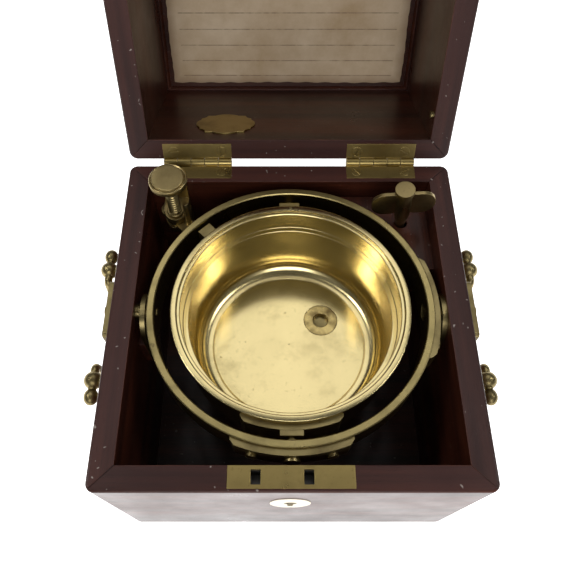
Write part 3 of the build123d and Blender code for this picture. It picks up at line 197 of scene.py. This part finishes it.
def mahogany(name, grain, on_lid=False, gloss=0.32, painted_shade_factor=1.0):
    """Polished old mahogany: grain is the axis that its fibres run along."""
    material, tree, shader = new_material(name)
    source = wire(tree, "ShaderNodeTexCoord")
    coords, normal = source.outputs["Object"], source.outputs["Normal"]
    if on_lid:
        coords = shut_lid(tree, coords)
        normal = shut_lid(tree, normal, (0, 0, 0))
    stretch = {"X": (0.035, 1.0, 1.0), "Y": (1.0, 0.035, 1.0), "Z": (1.0, 1.0, 0.035)}[grain]
    short = {"X": (0.12, 1.0, 1.0), "Y": (1.0, 0.12, 1.0), "Z": (1.0, 1.0, 0.12)}[grain]
    bands = noise(tree, coords, 95.0, 3.0, 0.55, stretch)
    fibres = noise(tree, coords, 900.0, 3.0, 0.6, stretch)
    pores = between(tree, noise(tree, coords, 2100.0, 1.0, 0.5, short), 0.60, 0.70)
    clouds = noise(tree, coords, 22.0, 4.0, 0.6)
    # The factor scales the grain's two colours down: painted shade on the pieces deep in the case and on
    # the lid.
    dark = [painted_shade_factor * value for value in (0.034, 0.0095, 0.0055)]
    light = [painted_shade_factor * value for value in (0.105, 0.026, 0.012)]
    colour = blend_colour(tree, between(tree, bands, 0.32, 0.68), dark, light)
    colour = blend_colour(tree, between(tree, fibres, 0.4, 0.75, 0.0, 0.55), colour,
                          (0.014, 0.005, 0.0035))
    colour = blend_colour(tree, calc(tree, "MULTIPLY", pores, 0.5), colour, (0.008, 0.003, 0.002))
    place = wire(tree, "ShaderNodeSeparateXYZ", {0: coords}).outputs
    facing = wire(tree, "ShaderNodeSeparateXYZ", {0: normal}).outputs
    rim_level = 104.2 * MM if on_lid else 104.0 * MM
    up = calc(tree, "MULTIPLY", facing[2], -1.0 if on_lid else 1.0)
    near = calc(tree, "ABSOLUTE", calc(tree, "SUBTRACT", place[2], rim_level))
    rim = calc(tree, "MULTIPLY", between(tree, up, 0.75, 0.98), between(tree, near, 1.2 * MM, 0.6 * MM))
    dusty = calc(tree, "MULTIPLY", rim, between(tree, clouds, 0.25, 0.7, 0.55, 0.95))
    dust_bands = between(tree, bands, 0.3, 0.7)
    dust_colour = blend_colour(tree, dust_bands, (0.024, 0.007, 0.006), (0.058, 0.018, 0.014))
    colour = blend_colour(tree, dusty, colour, dust_colour)
    outside = wire(tree, "ShaderNodeVectorMath", {0: coords}, operation="ABSOLUTE").outputs[0]
    out = wire(tree, "ShaderNodeSeparateXYZ", {0: outside}).outputs
    offset = calc(tree, "ABSOLUTE", calc(tree, "SUBTRACT", out[0], out[1]))
    wobble = between(tree, noise(tree, coords, 60.0, 5.0), 0.3, 0.7, 0.05 * MM, 0.42 * MM)
    seam = calc(tree, "MULTIPLY", calc(tree, "LESS_THAN", offset, wobble), rim)
    colour = blend_colour(tree, seam, colour, (0.004, 0.002, 0.002))
    specks = between(tree, noise(tree, coords, 420.0, 0.0), 0.80, 0.84, 0.0, 0.8)
    speck_share = calc(tree, "ADD", calc(tree, "MULTIPLY", rim, 0.8), 0.2)
    colour = blend_colour(tree, calc(tree, "MULTIPLY", specks, speck_share), colour, (0.34, 0.29, 0.26))
    rounded = wire(tree, "ShaderNodeBevel", {"Radius": 0.9 * MM}, samples=4).outputs[0]
    edge = edge_turn(tree, rounded)
    worn = calc(tree, "MULTIPLY", between(tree, edge, 0.985, 0.86), between(tree, clouds, 0.42, 0.62))
    colour = blend_colour(tree, calc(tree, "MULTIPLY", worn, 0.75), colour, (0.17, 0.060, 0.036))
    tree.links.new(colour, shader.inputs["Base Color"])
    rough = between(tree, clouds, 0.3, 0.7, gloss - 0.06, gloss + 0.12)
    rough = calc(tree, "ADD", rough, calc(tree, "MULTIPLY", rim, 0.12))
    tree.links.new(rough, shader.inputs["Roughness"])
    shader.inputs["Specular IOR Level"].default_value = 0.25
    shader.inputs["Coat Weight"].default_value = 0.12
    shader.inputs["Coat Roughness"].default_value = 0.16
    scuffs = between(tree, noise(tree, coords, 260.0, 6.0, 0.7), 0.60, 0.78)
    relief = calc(tree, "ADD", calc(tree, "MULTIPLY", fibres, 0.6), calc(tree, "MULTIPLY", scuffs, -0.8))
    relief = calc(tree, "SUBTRACT", relief, calc(tree, "MULTIPLY", pores, 0.6))
    relief = calc(tree, "SUBTRACT", relief, calc(tree, "MULTIPLY", seam, 1.5))
    tree.links.new(bump(tree, relief, 0.35, 0.12 * MM, rounded), shader.inputs["Normal"])
    return material


def paint(material, *nodes):
    """Give CAD nodes a material."""
    for name in nodes:
        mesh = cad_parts[name].data
        mesh.materials.clear()
        mesh.materials.append(material)


paint(mahogany("mahogany_x", "X"), "front_board", "back_board")
paint(mahogany("mahogany_y", "Y"), "left_board", "right_board")
# The base board, the key block and the bracket packing take darker copies of the same mahogany: painted
# shade deep in the case.
paint(mahogany("mahogany_base_painted_shade", "X", gloss=0.5, painted_shade_factor=0.55), "base_board")
paint(mahogany("mahogany_block_painted_shade", "Y", gloss=0.45, painted_shade_factor=0.7), "key_block", "left_bracket_packing")
# The lid's boards, panel and moulding take a darker copy of the same mahogany: painted shade.
LID_PAINTED_SHADE = 0.6
paint(mahogany("mahogany_lid_x_painted_shade", "X", on_lid=True, painted_shade_factor=LID_PAINTED_SHADE),
      "lid_front_board", "lid_back_board", "lid_top_panel", "card_moulding")
paint(mahogany("mahogany_lid_y_painted_shade", "Y", on_lid=True, painted_shade_factor=LID_PAINTED_SHADE), "lid_left_board", "lid_right_board")

# Bowl
# A turned and lacquered brass bowl, the brightest piece. Its wall and floor keep fine turning
# rings, with a groove round the floor, dark pits and a stain round the winding hole.


def brass(name, bright, dark, rough, age, turned=False, scale=60.0, scratch=0.4):
    """Brass from a bright and a dark colour: age is how much of the dark shows."""
    material, tree, shader = new_material(name)
    coords = wire(tree, "ShaderNodeTexCoord").outputs["Object"]
    clouds = noise(tree, coords, scale, 6.0, 0.62)
    spots = between(tree, noise(tree, coords, scale * 9.0, 3.0, 0.6), 0.62, 0.72)
    fine = noise(tree, coords, 1500.0, 2.0, 0.5, (1.0, 0.08, 1.0))
    rounded = wire(tree, "ShaderNodeBevel", {"Radius": 0.35 * MM}, samples=4).outputs[0]
    edge = edge_turn(tree, rounded)
    worn = between(tree, edge, 0.98, 0.85)
    stain = between(tree, clouds, 0.62 - age * 0.3, 0.95 - age * 0.3, 0.0, min(1.0, age * 1.6))
    stain = calc(tree, "MAXIMUM", stain, calc(tree, "MULTIPLY", spots, age * 0.7))
    stain = calc(tree, "SUBTRACT", stain, calc(tree, "MULTIPLY", worn, 0.5), clamp=True)
    colour = blend_colour(tree, stain, bright, dark)
    tree.links.new(colour, shader.inputs["Base Color"])
    shader.inputs["Metallic"].default_value = 1.0
    tree.links.new(between(tree, clouds, 0.3, 0.75, rough * 0.8, rough * 1.35), shader.inputs["Roughness"])
    height = calc(tree, "ADD", calc(tree, "MULTIPLY", fine, scratch), calc(tree, "MULTIPLY", spots, -0.5))
    if turned:
        flat = wire(tree, "ShaderNodeSeparateXYZ", {0: coords}).outputs
        away = calc(tree, "SQRT", calc(tree, "ADD", calc(tree, "MULTIPLY", flat[0], flat[0]),
                                       calc(tree, "MULTIPLY", flat[1], flat[1])))
        ring = wire(tree, "ShaderNodeCombineXYZ", {0: away, 1: flat[2]}).outputs[0]
        height = calc(tree, "ADD", height, noise(tree, ring, 2600.0, 2.0, 0.5))
        shader.inputs["Anisotropic"].default_value = 0.55
        tangent = wire(tree, "ShaderNodeTangent", direction_type="RADIAL", axis="Z").outputs[0]
        tree.links.new(tangent, shader.inputs["Tangent"])
    tree.links.new(bump(tree, height, 0.22, 0.03 * MM, rounded), shader.inputs["Normal"])
    return material


def arc(centre, radius, start, end, count):
    """Points of an arc in the profile plane, from one angle to another in degrees."""
    turn = [radians(start + (end - start) * i / count) for i in range(count + 1)]
    return [(centre[0] + radius * cos(a), centre[1] + radius * sin(a)) for a in turn]


def lathe(name, profile, place=(0.0, 0.0), steps=96, sharp=28.0):
    """A turned mesh from radius and height points in millimetres, open or closed at the axis."""
    mesh = bmesh.new()
    rows = []
    for radius, height in profile:
        if radius < 1e-6:
            rows.append([mesh.verts.new((place[0] * MM, place[1] * MM, height * MM))])
            continue
        rows.append([mesh.verts.new(((place[0] + radius * cos(2 * pi * i / steps)) * MM,
                                     (place[1] + radius * sin(2 * pi * i / steps)) * MM, height * MM))
                     for i in range(steps)])
    for low, high in zip(rows, rows[1:]):
        for i in range(steps):
            j = (i + 1) % steps
            if len(low) == 1 and len(high) == 1:
                continue
            if len(low) == 1:
                mesh.faces.new((low[0], high[j], high[i]))
            elif len(high) == 1:
                mesh.faces.new((low[i], low[j], high[0]))
            else:
                mesh.faces.new((low[i], low[j], high[j], high[i]))
    bmesh.ops.recalc_face_normals(mesh, faces=mesh.faces)
    return shaded(mesh, name, sharp)


def shaded(mesh, name, sharp=28.0):
    """A finished object from a bmesh, smooth except over sharp edges."""
    for face in mesh.faces:
        face.smooth = True
    for edge in mesh.edges:
        if len(edge.link_faces) != 2 or edge.calc_face_angle(0.0) > radians(sharp):
            edge.smooth = False
    data = bpy.data.meshes.new(name)
    mesh.to_mesh(data)
    mesh.free()
    return link(data, name)


def carve(obj, *cutters):
    """Cut the cutters out of an object and remove them."""
    for cutter in cutters:
        step = obj.modifiers.new("cut", "BOOLEAN")
        step.operation = "DIFFERENCE"
        step.solver = "EXACT"
        step.object = cutter
    bpy.context.view_layer.update()
    result = bpy.data.meshes.new_from_object(obj.evaluated_get(bpy.context.evaluated_depsgraph_get()))
    obj.modifiers.clear()
    obj.data = result
    obj.data.set_sharp_from_angle(angle=radians(28.0))
    for cutter in cutters:
        bpy.data.objects.remove(cutter)
    return obj


def brick(name, low, high):
    """A box between two corners in millimetres."""
    mesh = bmesh.new()
    bmesh.ops.create_cube(mesh, size=1.0)
    for vert in mesh.verts:
        vert.co = Vector([(low[i] + (vert.co[i] + 0.5) * (high[i] - low[i])) * MM for i in range(3)])
    return shaded(mesh, name)


def dress(obj, material, body, slot, *nodes):
    """Material and body of a finished piece, and the CAD nodes that it stands for; slot is not used."""
    obj.data.materials.clear()
    obj.data.materials.append(material)
    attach(obj, body)
    if nodes:
        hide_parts(*nodes)
    return obj


GOLD = brass("lacquered_brass", (0.74, 0.61, 0.30), (0.34, 0.26, 0.10), 0.20, 0.35, turned=True, scale=45.0)
BOWL_BASE = 52.0
BOWL_FLOOR = 55.2
BOWL_TOP = 106.8
BODY = 58.5
HEEL = 18.0
RIM_OUTER = 61.3
RIM_INNER = 58.2
MOUTH = 56.5
LEDGE_LEVEL = 93.0
LEDGE_EDGE = 53.8
WELL = 53.3
WELL_WAIST = 75.0
COVE = 8.9
GROOVE = 44.5
bowl_profile = [(0.0, BOWL_BASE)] + arc((BODY - HEEL, BOWL_BASE + HEEL), HEEL, -90, 0, 14)
bowl_profile += [(BODY, BOWL_TOP - 4.3), (RIM_OUTER - 0.4, BOWL_TOP - 4.0), (RIM_OUTER, BOWL_TOP - 3.6),
                 (RIM_OUTER, BOWL_TOP - 0.9)]
bowl_profile += arc((RIM_OUTER - 0.5, BOWL_TOP - 0.5), 0.5, 0, 90, 4)
bowl_profile += [(RIM_INNER + 0.4, BOWL_TOP), (RIM_INNER, BOWL_TOP - 0.3), (RIM_INNER, BOWL_TOP - 1.4),
                 (RIM_INNER - 0.3, BOWL_TOP - 1.6), (MOUTH + 0.3, BOWL_TOP - 1.6), (MOUTH, BOWL_TOP - 1.9)]
bowl_profile += [(MOUTH, LEDGE_LEVEL + 0.25), (MOUTH - 0.2, LEDGE_LEVEL), (LEDGE_EDGE + 0.2, LEDGE_LEVEL),
                 (LEDGE_EDGE, LEDGE_LEVEL - 0.2), (WELL + 0.15, WELL_WAIST), (WELL, BOWL_FLOOR + COVE)]
bowl_profile += arc((WELL - COVE, BOWL_FLOOR + COVE), COVE, 0, -84, 12)
bowl_profile += [(GROOVE + 0.12, BOWL_FLOOR - 0.04), (GROOVE, BOWL_FLOOR - 0.35)]
bowl_profile += [(GROOVE - 0.35, BOWL_FLOOR - 0.45), (GROOVE - 0.55, BOWL_FLOOR - 0.25)]
bowl_profile += [(GROOVE - 0.65, BOWL_FLOOR), (0.0, BOWL_FLOOR)]
bowl = lathe("bowl_shell", bowl_profile, steps=256)
WINDING = (19.1, 15.7)
WINDING_HOLE = 4.4
BUSH = 9.9
bush_seat = BUSH + 0.12
seat_ends = (BOWL_BASE - 2.0, BOWL_FLOOR + 2.8)
seat_profile = [(0.0, seat_ends[0]), (bush_seat, seat_ends[0])]
seat_profile += [(bush_seat, seat_ends[1]), (0.0, seat_ends[1])]
cuts = [lathe("cut_bush", seat_profile, WINDING, 64)]
pits = [(-2.2, 20.6, 0.45), (0.1, 0.0, 0.4), (-20.4, -27.9, 0.5)]
pits += [(-25.5, 1.5, 0.35), (-39.6, -8.2, 0.5), (39.2, 4.4, 0.4)]
for x, y, radius in pits:
    pit_profile = [(0.0, BOWL_FLOOR - 0.3), (radius * 0.6, BOWL_FLOOR - 0.25), (radius, BOWL_FLOOR + 0.2),
                   (0.0, BOWL_FLOOR + 0.2)]
    cuts.append(lathe("cut_mark", pit_profile, (x, y), 16))
carve(bowl, *cuts)
dress(bowl, GOLD, "bowl", "bowl_brass", "bowl")
bush_profile = [(WINDING_HOLE, BOWL_BASE), (BUSH - 0.05, BOWL_BASE), (BUSH - 0.05, BOWL_FLOOR - 0.1),
                (BUSH - 0.15, BOWL_FLOOR + 0.02), (WINDING_HOLE + 0.35, BOWL_FLOOR + 0.02),
                (WINDING_HOLE, BOWL_FLOOR - 0.3), (WINDING_HOLE, BOWL_BASE)]
bush = lathe("bush", bush_profile, WINDING, 96)
BUSH_BRASS = brass("stained_brass", (0.52, 0.40, 0.16), (0.13, 0.085, 0.035), 0.28, 0.75, scale=160.0)
dress(bush, BUSH_BRASS, "bowl", "bowl_brass", "winding_bush")

# Gimbal ring, plates and pivots
# A turned brass band, gone olive with handling, its top edge rubbed brighter. Its removable
# plates, the pivots, the bowl's plates and lug and the brackets on the walls are as dull.
RIM_BRASS = brass("turned_brass", (0.40, 0.32, 0.135), (0.15, 0.12, 0.055), 0.30, 0.5, turned=True)
paint(RIM_BRASS, "gimbal_ring")
DULL = brass("tarnished_brass", (0.32, 0.255, 0.115), (0.10, 0.075, 0.035), 0.36, 0.6)
paint(DULL, "front_ring_plate", "right_ring_plate", "front_bowl_pivot", "back_bowl_pivot")
paint(DULL, "front_bowl_plate", "back_bowl_plate", "bowl_lock_lug", "shutter_stud", "winding_shutter")
paint(DULL, "left_gimbal_bracket", "right_gimbal_bracket", "left_ring_pivot", "right_ring_pivot")

# Drop handles, side plates and lid stud
# Bent brass rods in cast eyes, with a plain brass plate above each handle and a small stud in
# the lid. Nobody has polished them for years.
paint(DULL, "handle_eyes", "left_bail", "right_bail", "side_plates", "lid_stud")

# Hinges, lock plates and cartouche
# Rolled brass butt hinges let into the rims, the lock's top plate with its striker, and a
# small waisted plate pinned to the lid's back wall.
HINGE_BRASS = brass("hinge_brass", (0.36, 0.27, 0.10), (0.12, 0.085, 0.035), 0.32, 0.45)
paint(HINGE_BRASS, "left_hinge_case_leaf", "right_hinge_case_leaf", "left_hinge_lid_leaf")
paint(HINGE_BRASS, "right_hinge_lid_leaf", "lock_plate", "striker_plate", "lid_plaque")

# Screws
# Old slotted screws: countersunk in hinges and brackets, round-headed on the gimbal plates and
# in the side plates. No two slots stand alike.


def slotted(place, outward, radius, dome, turn, raised=0.0, slot=0.62, depth=0.55):
    """A slotted screw head: its face is at place, its slot turned by degrees."""
    if raised:
        profile = [(0.0, -raised), (radius, -raised), (radius, -0.35), (radius - 0.35, 0.0)]
    else:
        profile = [(0.0, -1.1), (radius * 0.5, -1.1), (radius, 0.0)]
    profile += [(radius * 0.6, dome * 0.75), (radius * 0.25, dome), (0.0, dome)]
    head = lathe("screw", profile, steps=32)
    half = slot / 2
    cutter = brick("slot", (-radius * 1.2, -half, dome - depth), (radius * 1.2, half, dome + 1.0))
    cutter.data.transform(Matrix.Rotation(radians(turn), 4, "Z"))
    carve(head, cutter)
    aim = Vector((0.0, 0.0, 1.0)).rotation_difference(Vector(outward)).to_matrix().to_4x4()
    head.data.transform(Matrix.Translation(Vector(place) * MM) @ aim)
    return head


def join(name, pieces):
    """Several meshes as one object."""
    mesh = bmesh.new()
    for piece in pieces:
        mesh.from_mesh(piece.data)
        bpy.data.objects.remove(piece)
    data = bpy.data.meshes.new(name)
    mesh.to_mesh(data)
    mesh.free()
    return link(data, name)


slot_turns = iter([18, 72, 130, 41, 96, 7, 158, 64, 112, 33, 85, 147,
                   12, 54, 121, 99, 169, 28, 77, 140, 5, 61, 118, 90])
RIM_LEVEL = 104.0
LID_LEVEL = 104.2
PIVOT_LEVEL = 97.0
HINGE_CENTRE = 53.0
HINGE_SCREW_REACH = 13.7
HINGE_SCREW_Y = 87.56
WOOD_SCREW = 2.9
FLUSH_DOME = 0.06
WORN_DOME = 0.15
hinge_x = [
    side * HINGE_CENTRE + end * HINGE_SCREW_REACH
    for side in (-1, 1)
    for end in (-1, 1)
]
case_heads = []
for x in hinge_x:
    place = (x, HINGE_SCREW_Y, RIM_LEVEL)
    head = slotted(place, (0, 0, 1), WOOD_SCREW, FLUSH_DOME, next(slot_turns), slot=0.55, depth=0.35)
    case_heads.append(head)
dress(join("case_hinge_screw_heads", case_heads), HINGE_BRASS, "case", "screw_brass", "case_hinge_screws")
lid_heads = []
for x in hinge_x:
    place = (x, HINGE_SCREW_Y, LID_LEVEL)
    lid_heads.append(slotted(place, (0, 0, -1), WOOD_SCREW, FLUSH_DOME, next(slot_turns)))
lid_screws = join("lid_hinge_screw_heads", lid_heads)
lid_screws.data.transform(OPEN_LID)
dress(lid_screws, HINGE_BRASS, "lid", "screw_brass", "lid_hinge_screws")
KNOB_PLACE = (-66.0, 68.5)
RIGHT_BRACKET_FACE = 77.9
LEFT_BRACKET_FACE = -74.8
LOCK_BRACKET_FACE = 78.6
SIDE_PLATE_FACE = 96.3
SIDE_SCREW_LEVEL = 97.5
bracket_heads = []
for face, outward in ((RIGHT_BRACKET_FACE, (-1, 0, 0)), (LEFT_BRACKET_FACE, (1, 0, 0))):
    for drop in (25.0, 36.0):
        place = (face, 0.0, RIM_LEVEL - drop)
        bracket_heads.append(slotted(place, outward, WOOD_SCREW, WORN_DOME, next(slot_turns)))
for drop in (29.0, 36.0):
    place = (KNOB_PLACE[0], LOCK_BRACKET_FACE, RIM_LEVEL - drop)
    bracket_heads.append(slotted(place, (0, -1, 0), WOOD_SCREW, WORN_DOME, next(slot_turns)))
for side in (-1, 1):
    place = (side * SIDE_PLATE_FACE, 0.0, SIDE_SCREW_LEVEL)
    bracket_heads.append(slotted(place, (side, 0, 0), 3.2, 0.3, next(slot_turns), raised=1.3))
dress(join("case_screw_heads", bracket_heads), DULL, "case", "fitting_brass", "case_screws")
HEAD_RADIUS = 3.0
HEAD_HEIGHT = 1.6


def plate_heads(plate_radius, sideways, turns, level, dome):
    """Raised heads at both ends of the curved plates that stand at some turns round the axis."""
    heads = []
    for turn in turns:
        for offset in (-sideways, sideways):
            angle = radians(turn) + atan2(offset, sqrt(plate_radius ** 2 - sideways ** 2))
            outward = (cos(angle), sin(angle), 0.0)
            face = plate_radius + HEAD_HEIGHT
            place = (face * cos(angle), face * sin(angle), level)
            turned = next(slot_turns)
            heads.append(slotted(place, outward, HEAD_RADIUS, dome, turned, raised=HEAD_HEIGHT, slot=0.8))
    return heads


RING_PLATE = 76.4
RING_SCREW_SIDE = 18.8
ring_heads = plate_heads(RING_PLATE, RING_SCREW_SIDE, (-90, 0), PIVOT_LEVEL, WORN_DOME)
dress(join("ring_plate_screw_heads", ring_heads), DULL, "gimbal_ring", "fitting_brass", "ring_plate_screws")
BOWL_PLATE = 64.0
BOWL_SCREW_SIDE = 15.5
BOWL_SCREW_LEVEL = 78.0
bowl_heads = plate_heads(BOWL_PLATE, BOWL_SCREW_SIDE, (-90, 90), BOWL_SCREW_LEVEL, 0.1)
dress(join("bowl_plate_screw_heads", bowl_heads), DULL, "bowl", "fitting_brass", "bowl_plate_screws")
RING_MARK = (-68.2, -23.0, 106.7)
RIM_MARK = (0.6, 59.7, BOWL_TOP)
ring_screw = slotted(RING_MARK, (0, 0, 1), 1.2, 0.05, 70, slot=0.35, depth=0.3)
dress(ring_screw, DULL, "gimbal_ring", "fitting_brass")
rim_screw = slotted(RIM_MARK, (0, 0, 1), 0.9, 0.08, 20, slot=0.3, depth=0.3)
dress(rim_screw, DULL, "bowl", "fitting_brass")

# Gimbal lock and winding key
# The lock's clamp screw is a turned head with a raised, rubbed button, over a coarse thread and
# a plain collar. Its bracket, the sliding arm and the winged key are of the same handled brass.
KNOB_BRASS = brass("handled_brass", (0.40, 0.31, 0.14), (0.14, 0.10, 0.045), 0.34, 0.45)
paint(KNOB_BRASS, "clamp_knob", "lock_bracket", "lock_arm", "lock_arm_pin", "key_wings", "key_pipe")


def threaded(name, outer, inner, pitch, low, high, steps=48):
    """A screw thread as a mesh: the radius follows the turns of a helix."""
    mesh = bmesh.new()
    rows = int((high - low) / pitch * 10)
    grid = []
    for row in range(rows + 1):
        height = low + (high - low) * row / rows
        line = []
        for i in range(steps):
            phase = ((height - low) / pitch - i / steps) % 1.0
            radius = inner + (outer - inner) * (0.5 - 0.5 * cos(2 * pi * phase)) ** 0.8
            angle = 2 * pi * i / steps
            line.append(mesh.verts.new((radius * cos(angle) * MM, radius * sin(angle) * MM, height * MM)))
        grid.append(line)
    for lower, upper in zip(grid, grid[1:]):
        for i in range(steps):
            j = (i + 1) % steps
            mesh.faces.new((lower[i], lower[j], upper[j], upper[i]))
    return shaded(mesh, name, 60.0)


KNOB_TOP = 122.0
KNOB = 10.4
BUTTON = 8.8
SHANK = 2.5
COLLAR = 5.0
COLLAR_LOW = 91.9
COLLAR_TOP = 93.9
SHANK_END = 78.0
knob_profile = [(0.0, KNOB_TOP), (BUTTON - 0.5, KNOB_TOP)]
knob_profile += arc((BUTTON - 0.5, KNOB_TOP - 0.5), 0.5, 90, 0, 4)
knob_profile += [(BUTTON, KNOB_TOP - 1.0), (BUTTON + 0.2, KNOB_TOP - 1.15), (BUTTON + 0.7, KNOB_TOP - 0.8)]
knob_profile += arc((KNOB - 0.8, KNOB_TOP - 1.5), 0.8, 80, 0, 5) + [(KNOB, KNOB_TOP - 3.1)]
knob_profile += arc((KNOB - 0.5, KNOB_TOP - 3.4), 0.5, 0, -60, 3)
knob_profile += [(KNOB - 0.8, KNOB_TOP - 4.4), (KNOB - 2.8, KNOB_TOP - 5.0), (3.2, KNOB_TOP - 5.0)]
knob_head = lathe("knob_head", knob_profile, KNOB_PLACE, 128)
THREAD_CREST = 3.6
THREAD_ROOT = 2.95
THREAD_PITCH = 1.9
column = threaded("knob_thread", THREAD_CREST, THREAD_ROOT, THREAD_PITCH, COLLAR_TOP, KNOB_TOP - 4.9)
column.data.transform(Matrix.Translation((KNOB_PLACE[0] * MM, KNOB_PLACE[1] * MM, 0.0)))
collar_profile = [(SHANK, SHANK_END), (SHANK, COLLAR_LOW), (COLLAR - 0.2, COLLAR_LOW)]
collar_profile += [(COLLAR, COLLAR_LOW + 0.3), (COLLAR, COLLAR_TOP - 0.5)]
collar_profile += [(COLLAR - 0.4, COLLAR_TOP), (SHANK + 0.4, COLLAR_TOP)]
collar = lathe("knob_collar", collar_profile, KNOB_PLACE, 64)
knob = join("clamp_screw", [knob_head, column, collar])
dress(knob, KNOB_BRASS, "clamp_knob", "lock_brass", "clamp_knob")

# Box lock and keyhole plate
# The steel lock case and bolt stand in a mortise in the front wall, and its keyhole is lined by
# a plate of yellowed bone. The hinge pins and the shutter's coil are steel too.
STEEL, _, steel_shader = new_material("steel")
steel_shader.inputs["Base Color"].default_value = (0.16, 0.155, 0.15, 1.0)
steel_shader.inputs["Metallic"].default_value = 1.0
steel_shader.inputs["Roughness"].default_value = 0.45
paint(STEEL, "lock_case", "lock_bolt", "hinge_pins", "shutter_spring")
BONE, _, bone_shader = new_material("bone")
bone_shader.inputs["Base Color"].default_value = (0.72, 0.64, 0.48, 1.0)
bone_shader.inputs["Roughness"].default_value = 0.3
paint(BONE, "escutcheon")

# Certificate card
# An old card glued under the lid's panel, ruled with plain lines. It has gone tan and grows
# darker and browner towards its edges, and it has buckled a little.
CARD_HALF = 76.2
CARD_CELLS = 60
CARD_LEVEL = 185.75


def certificate():
    """A slightly buckled sheet with a worn edge, under the lid's panel."""
    mesh = bmesh.new()
    grid = []
    for row in range(CARD_CELLS + 1):
        line = []
        for col in range(CARD_CELLS + 1):
            u = col / CARD_CELLS * 2 - 1
            v = row / CARD_CELLS * 2 - 1
            ragged = 0.25 * sin(37 * u + 11 * v) + 0.18 * sin(61 * v - 5 * u)
            x = u * (CARD_HALF + (ragged if abs(u) == 1 else 0) - 0.5)
            y = v * (CARD_HALF + (ragged if abs(v) == 1 else 0) - 0.5)
            sag = 0.16 * sin(2.3 * u + 0.4) * cos(2.9 * v) + 0.08 * sin(7 * u * v)
            line.append(mesh.verts.new((x * MM, y * MM, (CARD_LEVEL + sag) * MM)))
        grid.append(line)
    for lower, upper in zip(grid, grid[1:]):
        for i in range(CARD_CELLS):
            mesh.faces.new((lower[i], upper[i], upper[i + 1], lower[i + 1]))
    mesh.transform(OPEN_LID)
    return shaded(mesh, "card_sheet", 80.0)


CARD, card_tree, card_shader = new_material("card")
card_source = wire(card_tree, "ShaderNodeTexCoord").outputs["Object"]
card_flat = shut_lid(card_tree, card_source)
card_place = wire(card_tree, "ShaderNodeSeparateXYZ", {0: card_flat}).outputs
foxing = noise(card_tree, card_flat, 38.0, 7.0, 0.65)
foxed = between(card_tree, foxing, 0.3, 0.72)
card_colour = blend_colour(card_tree, foxed, (0.70, 0.55, 0.38), (0.50, 0.35, 0.20))
RULE_PITCH = 9.5 * MM
row = calc(card_tree, "FRACT", calc(card_tree, "MULTIPLY", card_place[1], 1.0 / RULE_PITCH))
line = between(card_tree, calc(card_tree, "ABSOLUTE", calc(card_tree, "SUBTRACT", row, 0.5)), 0.045, 0.02)
inside = calc(card_tree, "LESS_THAN", calc(card_tree, "ABSOLUTE", card_place[0]), 69.0 * MM)
ink = calc(card_tree, "MULTIPLY", calc(card_tree, "MULTIPLY", line, inside),
           between(card_tree, noise(card_tree, card_flat, 300.0), 0.3, 0.6, 0.15, 0.6))
card_colour = blend_colour(card_tree, ink, card_colour, (0.16, 0.09, 0.05))
# The card grows darker and browner over its outer six millimetres.
border = wire(card_tree, "ShaderNodeVectorMath", {0: card_flat}, operation="ABSOLUTE").outputs[0]
border = wire(card_tree, "ShaderNodeSeparateXYZ", {0: border}).outputs
edge_far = calc(card_tree, "MAXIMUM", border[0], border[1])
card_colour = blend_colour(card_tree, between(card_tree, edge_far, 70 * MM, 76 * MM, 0.0, 0.6), card_colour,
                           (0.22, 0.12, 0.06))
card_tree.links.new(card_colour, card_shader.inputs["Base Color"])
card_shader.inputs["Roughness"].default_value = 0.72
card_tree.links.new(bump(card_tree, foxing, 0.3, 0.15 * MM), card_shader.inputs["Normal"])
dress(certificate(), CARD, "lid", "card", "certificate_card")
